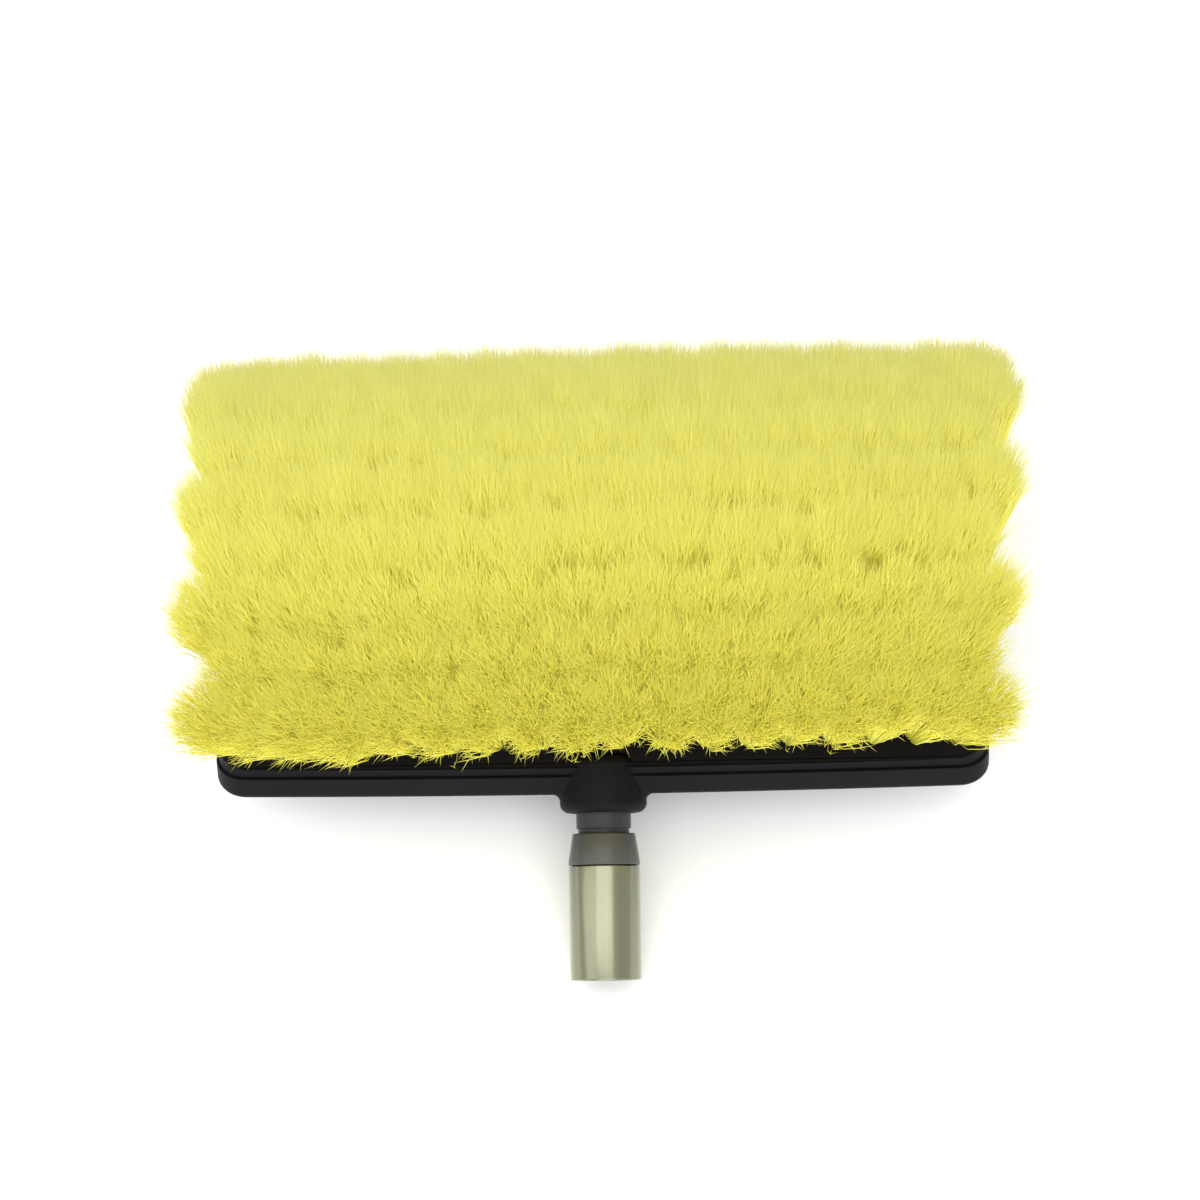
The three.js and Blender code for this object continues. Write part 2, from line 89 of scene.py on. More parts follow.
@dataclass(frozen=True)
class HeadSizes:
    """Sizes of the head, in metres and degrees."""

    length: float = 254 * MM
    depth: float = 107 * MM
    corner: float = 10 * MM
    bow: float = 1.3 * MM
    bow_cuts: int = 23
    shell_height: float = 10 * MM
    back_round: float = 3 * MM
    back_steps: int = 5
    edge_round: float = 0.5 * MM
    edge_steps: int = 2
    rim_degrees: float = 57.0
    sharp_degrees: float = 20.0
    plate_inset: float = 1 * MM
    plate_edge: float = 3 * MM
    plate_land: float = 1 * MM
    plate_gap: float = 0.3 * MM
    wing_degrees: float = 28.5
    centre_width: float = 36 * MM
    end_draft: float = 3.5 * MM
    bed_thickness: float = 2.4 * MM
    bed_margin: float = 1.3 * MM
    bed_corner: float = 4 * MM
    jet_radius: float = 1.6 * MM
    jet_spacing: float = 40 * MM
    jet_across: float = 6 * MM
    jet_count: int = 5
    pole_degrees: float = 41.5
    axis_behind_edge: float = 3 * MM

    @property
    def jet_places(self) -> list[tuple[float, float]]:
        """Places of the water jets along and across the centre face."""
        first = -(self.jet_count - 1) / 2
        sides = (self.jet_across, -self.jet_across)
        numbers = range(self.jet_count)
        return [((first + number) * self.jet_spacing, sides[number % 2]) for number in numbers]

    @property
    def wing_outer(self) -> float:
        """Distance from the middle to the outer edge of a leaning face."""
        return self.depth / 2 - self.plate_inset - self.plate_land

    @property
    def wing_low(self) -> float:
        """Height of a leaning face's outer edge above the parting plane."""
        return self.plate_gap + self.plate_edge

    @property
    def plate_top(self) -> float:
        """Height of the centre face above the parting plane."""
        rise = math.tan(math.radians(self.wing_degrees))
        return self.wing_low + (self.wing_outer - self.centre_width / 2) * rise

    def facet_width(self, facet: Facet) -> float:
        """Width of one face, measured along it.

        Args:
            facet: The face.

        Returns:
            Its width in metres.
        """
        if facet is Facet.CENTRE:
            return self.centre_width
        lean = math.cos(math.radians(self.wing_degrees))
        return (self.wing_outer - self.centre_width / 2) / lean

    def facet_frame(self, facet: Facet) -> Matrix:
        """Frame of one face in the head's frame, with Y across it and Z out of it.

        Args:
            facet: The face.

        Returns:
            The face's matrix.
        """
        side = facet.value
        middle = side * (self.wing_outer + self.centre_width / 2) / 2
        height = self.plate_top
        if facet is not Facet.CENTRE:
            height = (self.wing_low + self.plate_top) / 2
        lean = Matrix.Rotation(-side * math.radians(self.wing_degrees), 4, "X")
        return Matrix.Translation((0.0, middle, height)) @ lean


@dataclass(frozen=True)
class SocketSizes:
    """Sizes of the socket on the head, measured along the pole from the head's near back edge."""

    radius: float = 14.3 * MM
    overhang: float = 4.8 * MM
    mouth_round: float = 3.2 * MM
    mouth_steps: int = 6
    mouth_degrees: float = 60.0
    depth: float = 16.3 * MM
    end_wall: float = 2.5 * MM
    bore_radius: float = 9.825 * MM
    tail_length: float = 26 * MM
    tail_step: float = 0.25 * MM
    tail_steps: int = 8
    tail_fullness: float = 0.8
    fillet: float = 2.6 * MM
    fillet_from: float = 45.0
    fillet_to: float = 125.0
    fillet_thinnest: float = 0.05
    fillet_skin: float = 1 * MM
    fillet_sunk: float = 0.03 * MM
    fillet_steps_round: int = 24
    fillet_steps_across: int = 6

    @property
    def floor(self) -> float:
        """Station of the socket's floor."""
        return self.depth - self.overhang

    @property
    def end(self) -> float:
        """Station of the socket's closed end."""
        return self.floor + self.end_wall


@dataclass(frozen=True)
class PoleSizes:
    """Sizes of the pole and its tip; stations run along the pole from the head's near back edge."""

    gap: float = 0.3 * MM
    tube_radius: float = 11.75 * MM
    tube_wall: float = 1.2 * MM
    tube_shown: float = 37.4 * MM
    shank_length: float = 20 * MM
    seal_section: float = 2.2 * MM
    collar_length: float = 10.4 * MM
    collar_rim: float = 1.2 * MM
    collar_top: float = 10.3 * MM
    relief_width: float = 1.6 * MM
    relief_radius: float = 8.4 * MM
    neck_radius: float = 9 * MM
    neck_shown: float = 5.2 * MM
    thread_radius: float = 9.4 * MM
    thread_root: float = 8.3 * MM
    thread_pitch: float = 4 * MM
    thread_length: float = 12 * MM
    thread_lead: float = 1 * MM
    thread_foot: float = 2.4 * MM
    thread_crest: float = 0.64 * MM
    edge_round: float = 0.3 * MM
    rim_steps: int = 3
    edge_steps: int = 2
    tube_steps: int = 96
    smooth_degrees: float = 40.0
    sharp_degrees: float = 10.0
    washer: float = 2.4 * MM
    nose_radius: float = 5.5 * MM
    nose_length: float = 1.98 * MM
    bore_radius: float = 4.5 * MM

    @property
    def shank_radius(self) -> float:
        """Radius of the shank inside the tube."""
        return self.tube_radius - self.tube_wall - self.gap

    @property
    def thread_end(self) -> float:
        """Station of the thread's far end, under the washer."""
        return SOCKET.floor - self.washer - 2 * self.gap

    @property
    def neck_start(self) -> float:
        """Station where the thread ends and the neck starts."""
        return self.thread_end - self.thread_length

    @property
    def neck_end(self) -> float:
        """Station of the neck's end outside the socket."""
        return -SOCKET.overhang - self.neck_shown

    @property
    def collar_start(self) -> float:
        """Station of the collar's narrow end."""
        return self.neck_end - self.relief_width

    @property
    def collar_end(self) -> float:
        """Station of the collar's wide end."""
        return self.collar_start - self.collar_length

    @property
    def tube_start(self) -> float:
        """Station of the tube's end under the collar."""
        return self.collar_end - self.gap

    @property
    def tube_end(self) -> float:
        """Station of the tube's open end."""
        return self.tube_start - self.tube_shown

    @property
    def shank_end(self) -> float:
        """Station of the shank's end inside the tube."""
        return self.tube_start - self.shank_length


@dataclass(frozen=True)
class ScrewSizes:
    """Sizes and places of the plate screws, in the head's frame."""

    spacing: float = 80 * MM
    across: float = 22 * MM
    head_radius: float = 4 * MM
    head_height: float = 2.4 * MM
    shank_radius: float = 2 * MM
    seat: float = -7.1 * MM
    point: float = 8.5 * MM
    clearance: float = 0.3 * MM
    edge_round: float = 0.3 * MM
    edge_steps: int = 3
    sharp_degrees: float = 15.0
    steps: int = 40
    crown_flat: float = 0.7
    crown_rise: float = 0.12
    crown_shoulder: float = 0.5
    recess_length: float = 4.6 * MM
    recess_width: float = 1.1 * MM
    recess_depth: float = 1.5 * MM
    recess_taper: float = 0.7

    @property
    def places(self) -> list[tuple[float, float]]:
        """Places along and across the head, in the order of the nodes."""
        rows = (-self.across, self.across)
        return [(along, across) for across in rows for along in (-self.spacing, 0.0, self.spacing)]


HEAD = HeadSizes()
SOCKET = SocketSizes()
POLE = PoleSizes()
SCREW = ScrewSizes()


@dataclass(frozen=True)
class BrushFrames:
    """Where the pole's frame and the head's frame sit in the row's frame."""

    pole: Matrix
    head: Matrix

    @classmethod
    def from_joint(cls, joint: dict) -> "BrushFrames":
        """Reads the pole's line from the joint that turns it.

        Args:
            joint: The record of the pole's turning joint, whose point is the socket's mouth.

        Returns:
            Both frames.
        """
        along = -Vector(joint["axis"]).normalized()
        start = Vector(joint["pos_m"]) + along * SOCKET.overhang
        turn = Matrix((AXIS_X, along, AXIS_X.cross(along))).transposed().to_4x4()
        pole = Matrix.Translation(start) @ turn
        tilt = math.radians(HEAD.pole_degrees)
        half = HEAD.depth / 2
        across = half * math.cos(tilt) + HEAD.shell_height * math.sin(tilt)
        height = HEAD.shell_height * math.cos(tilt) - half * math.sin(tilt)
        place = Matrix.Translation((0.0, across, height + HEAD.axis_behind_edge))
        return cls(pole, pole @ place @ Matrix.Rotation(-tilt, 4, "X"))


class Wire:
    """One output of a shader node; arithmetic on it adds Math nodes."""

    def __init__(self, kit: "NodeKit", socket: bpy.types.NodeSocket) -> None:
        self.kit = kit
        self.socket = socket

    def _maths(self, operation: str, first: "Wire | float", second: "Wire | float") -> "Wire":
        """Adds one Math node and returns its output."""
        return self.kit.node("ShaderNodeMath", {"operation": operation}, {0: first, 1: second})

    def __add__(self, other: "Wire | float") -> "Wire":
        """Sum."""
        return self._maths("ADD", self, other)

    def __radd__(self, other: float) -> "Wire":
        """Sum with a number first."""
        return self._maths("ADD", other, self)

    def __mul__(self, other: "Wire | float") -> "Wire":
        """Product."""
        return self._maths("MULTIPLY", self, other)

    def __rmul__(self, other: float) -> "Wire":
        """Product with a number first."""
        return self._maths("MULTIPLY", other, self)

    def __pow__(self, other: float) -> "Wire":
        """Power."""
        return self._maths("POWER", self, other)


class NodeKit:
    """Builds one material's nodes around its principled shader."""

    def __init__(self, name: str) -> None:
        """Starts an empty material with an output and a principled shader.

        Args:
            name: The material's name.
        """
        self.material = bpy.data.materials.new(name)
        self.material.use_nodes = True
        self.tree = self.material.node_tree
        self.tree.nodes.clear()
        output = self.tree.nodes.new("ShaderNodeOutputMaterial")
        self.shader = self.tree.nodes.new("ShaderNodeBsdfPrincipled")
        self.tree.links.new(self.shader.outputs[0], output.inputs[0])

    def node(self, kind: str, settings: dict, sockets: dict, output: str | int = 0) -> Wire:
        """Adds a node.

        Args:
            kind: The node's type.
            settings: Its own settings, set first; stops fills a colour ramp.
            sockets: Values or wires for its inputs, by name or number.
            output: The output that is wanted.

        Returns:
            That output.
        """
        made = self.tree.nodes.new(kind)
        for name, value in settings.items():
            if name == "stops":
                self._fill_ramp(made.color_ramp, value)
            else:
                setattr(made, name, value)
        for name, value in sockets.items():
            self._feed(made.inputs[name], value)
        return Wire(self, made.outputs[output])

    def _fill_ramp(self, ramp: bpy.types.ColorRamp, stops: Sequence[tuple]) -> None:
        """Gives a ramp its stops, each a place and a colour.

        Args:
            ramp: The ramp.
            stops: Its stops, in order.
        """
        while len(ramp.elements) < len(stops):
            ramp.elements.new(1.0)
        for element, (place, colour) in zip(ramp.elements, stops):
            element.position = place
            element.color = (*colour, 1.0)

    def _feed(self, socket: bpy.types.NodeSocket, value: object) -> None:
        """Links a wire to an input, or sets the input's own value.

        Args:
            socket: The input.
            value: The wire, or the value.
        """
        if isinstance(value, Wire):
            self.tree.links.new(value.socket, socket)
        else:
            socket.default_value = value

    def surface(self, sockets: dict[str, object]) -> bpy.types.Material:
        """Feeds the shader's inputs, by name, and gives the material.

        Args:
            sockets: Values or wires for the shader's inputs.

        Returns:
            The material.
        """
        for name, value in sockets.items():
            self._feed(self.shader.inputs[name], value)
        return self.material

    def place(self) -> Wire:
        """The point on the surface, in the object's own coordinates."""
        return self.node("ShaderNodeTexCoord", {}, {}, "Object")

    def noise(self, place: Wire, scale: float, detail: float) -> Wire:
        """Cloudy noise at a number of patches a metre."""
        sockets = {"Vector": place, "Scale": scale, "Detail": detail}
        return self.node("ShaderNodeTexNoise", {}, sockets)

    def mix(self, factor: Wire | float, first: object, second: object) -> Wire:
        """A blend of two colours."""
        settings = {"data_type": "RGBA"}
        return self.node("ShaderNodeMix", settings, {0: factor, 6: first, 7: second}, 2)

    def bump(self, height: Wire, depth: float, strength: float) -> Wire:
        """A bumped normal from a height of a real depth in metres."""
        sockets = {"Height": height, "Distance": depth, "Strength": strength}
        return self.node("ShaderNodeBump", {}, sockets)


@dataclass(frozen=True)
class MouldedPlastic:
    """Moulded plastic with a fine spark grain and faint flow marks."""

    name: str
    colour: tuple[float, float, float]
    worn: tuple[float, float, float]
    roughness: float
    grain_depth: float
    shine: float
    flow_scale: float = 38.0
    flow_detail: float = 4.0
    flow_contrast: float = 2.0
    smoother: float = 0.06
    roughness_spread: float = 0.16
    grain_scale: float = 2600.0
    grain_detail: float = 1.0
    grain_strength: float = 0.5

    def material(self) -> bpy.types.Material:
        """Builds the finish.

        Returns:
            The material.
        """
        kit = NodeKit(self.name)
        place = kit.place()
        flow = kit.noise(place, self.flow_scale, self.flow_detail)
        grain = kit.noise(place, self.grain_scale, self.grain_detail)
        marks = flow ** self.flow_contrast
        return kit.surface({
            "Base Color": kit.mix(marks, (*self.colour, 1.0), (*self.worn, 1.0)),
            "Roughness": self.roughness - self.smoother + self.roughness_spread * flow,
            "Specular IOR Level": self.shine,
            "Normal": kit.bump(grain, self.grain_depth, self.grain_strength),
        })


@dataclass(frozen=True)
class DrawnMetal:
    """Lacquered metal with drawing lines along one direction."""

    name: str
    colour: tuple[float, float, float]
    dull: tuple[float, float, float]
    roughness: float
    tilt: float
    stretch: float = 50.0
    line_scale: float = 2400.0
    line_depth: float = 0.004 * MM
    line_strength: float = 0.4
    patch_scale: float = 60.0
    detail: float = 3.0
    roughness_spread: float = 0.12
    lacquer: float = 0.8
    lacquer_roughness: float = 0.14

    def material(self) -> bpy.types.Material:
        """Builds the finish.

        Returns:
            The material.
        """
        kit = NodeKit(self.name)
        place = kit.place()
        turn = {
            "Vector": place,
            "Rotation": (self.tilt, 0.0, 0.0),
            "Scale": (1.0, self.stretch, 1.0),
        }
        along = kit.node("ShaderNodeMapping", {"vector_type": "TEXTURE"}, turn)
        lines = kit.noise(along, self.line_scale, self.detail)
        patches = kit.noise(place, self.patch_scale, self.detail)
        return kit.surface({
            "Base Color": kit.mix(patches * lines, (*self.colour, 1.0), (*self.dull, 1.0)),
            "Metallic": 1.0,
            "Roughness": self.roughness + self.roughness_spread * lines * patches,
            "Coat Weight": self.lacquer,
            "Coat Roughness": self.lacquer_roughness,
            "Normal": kit.bump(lines, self.line_depth, self.line_strength),
        })


@dataclass(frozen=True)
class BristleFibre:
    """Soft yellow fibre with painted light: painted shade darkest at its root, a painted sheen
    palest at the split tips of the far rows, and a faint emission that lifts the shade between
    tufts.
    """

    name: str = "bristle_fibre"
    # The dark root colour is painted shade deep among the tufts, darkening every fibre towards its
    # root.
    root: tuple[float, float, float] = (0.36, 0.35, 0.02)
    middle: tuple[float, float, float] = (0.82, 0.77, 0.066)
    middle_at: float = 0.45
    tip: tuple[float, float, float] = (0.68, 0.64, 0.1)
    # Paler colour painted on the tips of the far rows: a painted sheen.
    painted_sheen_colour: tuple[float, float, float] = (0.9, 0.875, 0.262)
    # Strength of a faint emission in the tip colour: painted light that lifts the shade between the
    # tufts.
    shadow_fill_glow: float = 0.14
    roughness: float = 0.65
    # Across the head, where the painted sheen starts and where it is full.
    near: float = -0.06
    far: float = 0.10
    shade: float = 0.85
    shade_share: float = 0.3

    def material(self) -> bpy.types.Material:
        """Builds the finish from each fibre's own length and tint, with a painted sheen set by its
        place across the head.

        Returns:
            The material.
        """
        kit = NodeKit(self.name)
        along = kit.node("ShaderNodeAttribute", {"attribute_name": "along"}, {}, "Fac")
        tint = kit.node("ShaderNodeAttribute", {"attribute_name": "tint"}, {}, "Fac")
        # Along each fibre: painted shade at the root, then the fibre's yellow to its tip.
        stops = [(0.0, self.root), (self.middle_at, self.middle), (1.0, self.tip)]
        ramp = kit.node("ShaderNodeValToRGB", {"stops": stops}, {0: along})
        # Painted sheen: tips grow paler toward the far rows, by their place across the head.
        across = kit.node("ShaderNodeSeparateXYZ", {}, {0: kit.place()}, "Y")
        limits = {"Value": across, "From Min": self.near, "From Max": self.far}
        sheen_toward_far_rows = kit.node("ShaderNodeMapRange", {}, limits)
        with_painted_sheen = kit.mix(sheen_toward_far_rows * along * along, ramp, (*self.painted_sheen_colour, 1.0))
        deep = tuple(self.shade * part for part in self.middle)
        return kit.surface({
            "Base Color": kit.mix(self.shade_share * tint, with_painted_sheen, (*deep, 1.0)),
            "Roughness": self.roughness,
            # Painted light: the fibres give off a little of their tip colour, though they are no
            # lamp.
            "Emission Color": (*self.tip, 1.0),
            "Emission Strength": self.shadow_fill_glow,
        })


class Bench:
    """Mesh work that the classes share."""

    @staticmethod
    def only(parts: Iterable, kind: type) -> list:
        """The parts of one kind: points, edges or faces."""
        return [part for part in parts if isinstance(part, kind)]

    @staticmethod
    def spin(profile: Sequence[tuple[float, float]], steps: int) -> bmesh.types.BMesh:
        """Turns a profile of (radius, height) points about Y.

        Args:
            profile: The points, in order.
            steps: Facets round the axis.

        Returns:
            A closed mesh.
        """
        shape = bmesh.new()
        corners = [shape.verts.new((radius, height, 0.0)) for radius, height in profile]
        edges = [shape.edges.new(pair) for pair in zip(corners, corners[1:])]
        bmesh.ops.spin(
            shape,
            geom=corners + edges,
            cent=(0.0, 0.0, 0.0),
            axis=AXIS_Y,
            angle=2 * math.pi,
            steps=steps,
            use_merge=True,
        )
        bmesh.ops.remove_doubles(shape, verts=shape.verts, dist=MERGED)
        bmesh.ops.recalc_face_normals(shape, faces=shape.faces)
        return shape

    @staticmethod
    def drawn(profile: Sequence[tuple[float, float]], length: float) -> bmesh.types.BMesh:
        """Draws a profile of (Y, Z) points along X.

        Args:
            profile: The points, in order.
            length: The length along X.

        Returns:
            A closed mesh, centred on X.
        """
        shape = bmesh.new()
        corners = [shape.verts.new((-length / 2, across, height)) for across, height in profile]
        face = shape.faces.new(corners)
        made = bmesh.ops.extrude_face_region(shape, geom=[face])["geom"]
        moved = Bench.only(made, bmesh.types.BMVert)
        bmesh.ops.translate(shape, vec=(length, 0.0, 0.0), verts=moved)
        bmesh.ops.recalc_face_normals(shape, faces=shape.faces)
        return shape

    @staticmethod
    def box(size: tuple[float, float, float], corner: float = 0.0) -> bmesh.types.BMesh:
        """A box centred on the origin, its upright edges rounded.

        Args:
            size: Its sides.
            corner: The upright edges' radius.

        Returns:
            A closed mesh.
        """
        shape = bmesh.new()
        bmesh.ops.create_cube(shape, size=1.0)
        bmesh.ops.scale(shape, vec=size, verts=shape.verts)
        if corner:
            upright = [edge for edge in shape.edges if edge.verts[0].co.xy == edge.verts[1].co.xy]
            Bench.bevel(shape, upright, corner, CORNER_STEPS)
        return shape

    @staticmethod
    def rod(
        radius: float, low: float, high: float, place: tuple[float, float]
    ) -> bmesh.types.BMesh:
        """A round rod along Z between two heights, standing at a place.

        Args:
            radius: Its radius.
            low: Its lower end.
            high: Its upper end.
            place: Where it stands.

        Returns:
            A closed mesh.
        """
        shape = bmesh.new()
        bmesh.ops.create_cone(
            shape,
            cap_ends=True,
            segments=ROD_STEPS,
            radius1=radius,
            radius2=radius,
            depth=high - low,
        )
        bmesh.ops.translate(shape, vec=(*place, (low + high) / 2), verts=shape.verts)
        return shape

    @staticmethod
    def bevel(shape: bmesh.types.BMesh, edges: Sequence, radius: float, segments: int) -> None:
        """Rounds the given edges.

        Args:
            shape: The mesh.
            edges: Its edges.
            radius: The rounding's width.
            segments: Faces across the rounding.
        """
        bmesh.ops.bevel(
            shape,
            geom=list(edges),
            offset=radius,
            segments=segments,
            profile=0.5,
            affect="EDGES",
            material=-1,
            clamp_overlap=True,
        )

    @staticmethod
    def round_edges(shape: bmesh.types.BMesh, radius: float, segments: int, degrees: float) -> None:
        """Rounds every edge that is sharper than an angle.

        Args:
            shape: The mesh.
            radius: The rounding's width.
            segments: Faces across the rounding.
            degrees: The angle.
        """
        limit = math.radians(degrees)
        closed = [edge for edge in shape.edges if edge.is_manifold]
        sharp = [edge for edge in closed if edge.calc_face_angle() > limit]
        Bench.bevel(shape, sharp, radius, segments)

    @staticmethod
    def smooth(shape: bmesh.types.BMesh, degrees: float = 32.0) -> None:
        """Shades a mesh smooth, apart from edges sharper than an angle.

        Args:
            shape: The mesh.
            degrees: The angle.
        """
        limit = math.radians(degrees)
        for face in shape.faces:
            face.smooth = True
        for edge in shape.edges:
            edge.smooth = edge.is_manifold and edge.calc_face_angle() < limit

    @staticmethod
    def mesh(shape: bmesh.types.BMesh, name: str, place: Matrix) -> bpy.types.Mesh:
        """Turns a bmesh into a mesh at its place in the row's frame, and frees it.

        Args:
            shape: The bmesh.
            name: The mesh's name.
            place: Its frame in the row's frame.

        Returns:
            The mesh.
        """
        bmesh.ops.transform(shape, matrix=place, verts=shape.verts)
        made = bpy.data.meshes.new(name)
        shape.to_mesh(made)
        shape.free()
        return made

    @staticmethod
    def cut(base: bmesh.types.BMesh, tool: bmesh.types.BMesh, way: Cut) -> bmesh.types.BMesh:
        """Sets one closed mesh against another.

        Args:
            base: The mesh that is kept; it is freed.
            tool: The mesh that is joined, removed or kept in common; it is freed.
            way: Which of these.

        Returns:
            The result.
        """
        objects = []
        for number, part in enumerate((base, tool)):
            made = Bench.mesh(part, f"cut_{number}", Matrix.Identity(4))
            holder = bpy.data.objects.new(f"cut_{number}", made)
            bpy.context.scene.collection.objects.link(holder)
            objects.append(holder)
        modifier = objects[0].modifiers.new("cut", "BOOLEAN")
        modifier.operation = way.value
        modifier.solver = "EXACT"
        modifier.object = objects[1]
        bpy.context.view_layer.update()
        result = bmesh.new()
        result.from_object(objects[0], bpy.context.evaluated_depsgraph_get())
        for holder in objects:
            made = holder.data
            bpy.data.objects.remove(holder)
            bpy.data.meshes.remove(made)
        bmesh.ops.remove_doubles(result, verts=result.verts, dist=MERGED)
        return result

    @staticmethod
    def keep_flat(piece: bpy.types.Object) -> None:
        """Shades large flat faces flat where small round ones meet them."""
        weigh = piece.modifiers.new("flat_faces", "WEIGHTED_NORMAL")
        weigh.keep_sharp = True

    @staticmethod
    def show(
        mesh: bpy.types.Mesh, body: str, slot: str, node: str, *finishes: bpy.types.Material
    ) -> bpy.types.Object:
        """Puts a mesh in the scene as a piece, in the place of a CAD node.

        Args:
            mesh: The mesh, already in place.
            body: The body that it rides on.
            slot: The record's material slot; not used.
            node: The node that it replaces.
            finishes: Its materials, in the order of the faces' material numbers.

        Returns:
            The piece.
        """
        for finish in finishes:
            mesh.materials.append(finish)
        piece = bpy.data.objects.new(mesh.name, mesh)
        bpy.context.scene.collection.objects.link(piece)
        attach(piece, body)
        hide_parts(node)
        log.info("%s: %d faces", piece.name, len(mesh.polygons))
        return piece


@dataclass(frozen=True)
class RowFan:
    """How a face's rows stand: each row's lean back in degrees, and the share of length they add.

    The first row stands at a margin of its own from the face's near edge.
    """

    leans: tuple[float, float, float]
    longer: float = 0.0
    near_margin: float = 4 * MM


@dataclass
class BristleField:
    """The nine rows of tufts, three on each face of the tuft plate."""

    frames: BrushFrames
    finish: bpy.types.Material
    bed_finish: bpy.types.Material
    rows_per_facet: int = 3
    tuft_pitch: float = 13.7 * MM
    end_margin: float = 10 * MM
    far_margin: float = 4 * MM
    hub_margin: float = 2.3 * MM
    hub_step: float = 0.5 * MM
    hub_room: float = 0.6 * MM
    length: float = 67 * MM
    longer_right: float = 0.015
    back_set_right: float = 1.2
    short_row_inset: float = 6.5 * MM
    end_fan: float = 11.5
    root_radius: float = 2.8 * MM
    tip_radius: float = 11 * MM
    across_share: float = 1.2
    stray_share: float = 0.06
    stray_reach: float = 1.15
    dome: float = 0.05
    wander: float = 0.022
    tuft_jitter: float = 0.012
    length_jitter: float = 0.01
    late_flare: float = 0.2
    flare_jitter: float = 0.5
    earliest_flare: float = -0.9
    short_share: float = 0.05
    shortest: float = 0.45
    curl: float = 1.6 * MM
    curl_power: int = 4
    fibres: int = 440
    fibre_radius: float = 0.18 * MM
    stem_joint: float = 0.35
    flags: int = 3
    flag_thickness: float = 0.72
    flag_share: float = 0.2
    flag_spread: float = 2.2 * MM
    seed: int = 11
    random: np.random.Generator = field(init=False)
    fans: dict[Facet, RowFan] = field(init=False)

    def __post_init__(self) -> None:
        """Starts the seeded draws and sets the rows' fans."""
        self.random = np.random.default_rng(self.seed)
        self.fans = {
            Facet.FRONT: RowFan((-7.0, -1.0, 5.5), near_margin=9 * MM),
            Facet.CENTRE: RowFan((-7.2, 3.8, 12.8)),
            Facet.REAR: RowFan((-2.2, 3.8, 9.8), longer=0.03),
        }

    def build(self) -> None:
        """Makes every row and the beds that they stand in."""
        row_number = 0
        for facet in Facet:
            place = self.frames.head @ HEAD.facet_frame(facet)
            bed = self._bed(facet, place)
            Bench.show(bed, HEAD_BODY, "plate_plastic", facet.node, self.bed_finish)
            for row in range(self.rows_per_facet):
                mesh = self._row(facet, row, row_number, place)
                Bench.show(mesh, HEAD_BODY, "bristle_fibre", facet.node, self.finish)
                row_number += 1

    def _bed(self, facet: Facet, place: Matrix) -> bpy.types.Mesh:
        """The slice of the plate that a face's tufts stand in.

        Args:
            facet: The face.
            place: The face's frame in the row's frame.

        Returns:
            The mesh, in place.
        """
        shape = HeadMoulding.bed_shape(facet, 0.0)
        if facet is Facet.FRONT:
            room = HeadMoulding.hub_shape(self.hub_room)
            bmesh.ops.transform(room, matrix=place.inverted() @ self.frames.pole, verts=room.verts)
            shape = Bench.cut(shape, room, Cut.REMOVE)
        if facet is Facet.CENTRE:
            for jet in HEAD.jet_places:
                hole = Bench.rod(HEAD.jet_radius, -HEAD.plate_top, HEAD.plate_top, jet)
                shape = Bench.cut(shape, hole, Cut.REMOVE)
        Bench.smooth(shape)
        return Bench.mesh(shape, f"tuft_bed_{facet.name.lower()}", place)

    def _fibre(self) -> tuple[np.ndarray, np.ndarray]:
        """One straight fibre of unit length along Z, split into three at its tip.

        Returns:
            Its points and its triangles.
        """
        shape = bmesh.new()
        split = 1.0 - self.flag_share
        stem = bmesh.ops.create_circle(shape, segments=3, radius=self.fibre_radius)
        edges = list({edge for vert in stem["verts"] for edge in vert.link_edges})
        for rise in (self.stem_joint * split, (1.0 - self.stem_joint) * split):
            made = bmesh.ops.extrude_edge_only(shape, edges=edges)["geom"]
            ring = Bench.only(made, bmesh.types.BMVert)
            bmesh.ops.translate(shape, vec=(0.0, 0.0, rise), verts=ring)
            edges = Bench.only(made, bmesh.types.BMEdge)
            edges = [edge for edge in edges if all(vert in ring for vert in edge.verts)]
        thickness = self.flag_thickness * self.fibre_radius
        for number in range(self.flags):
            angle = 2 * math.pi * number / self.flags
            out = Vector((math.cos(angle), math.sin(angle), 0.0))
            flag = bmesh.ops.create_cone(
                shape, segments=3, radius1=thickness, radius2=0.0, depth=self.flag_share
            )["verts"]
            bmesh.ops.translate(shape, vec=(0.0, 0.0, split + self.flag_share / 2), verts=flag)
            for vert in flag:
                reach = (vert.co.z - split) / self.flag_share
                vert.co += out * (self.fibre_radius - thickness + self.flag_spread * reach)
        bmesh.ops.triangulate(shape, faces=shape.faces)
        shape.verts.index_update()
        points = np.array([vert.co for vert in shape.verts])
        faces = np.array([[vert.index for vert in face.verts] for face in shape.faces])
        shape.free()
        return points, faces

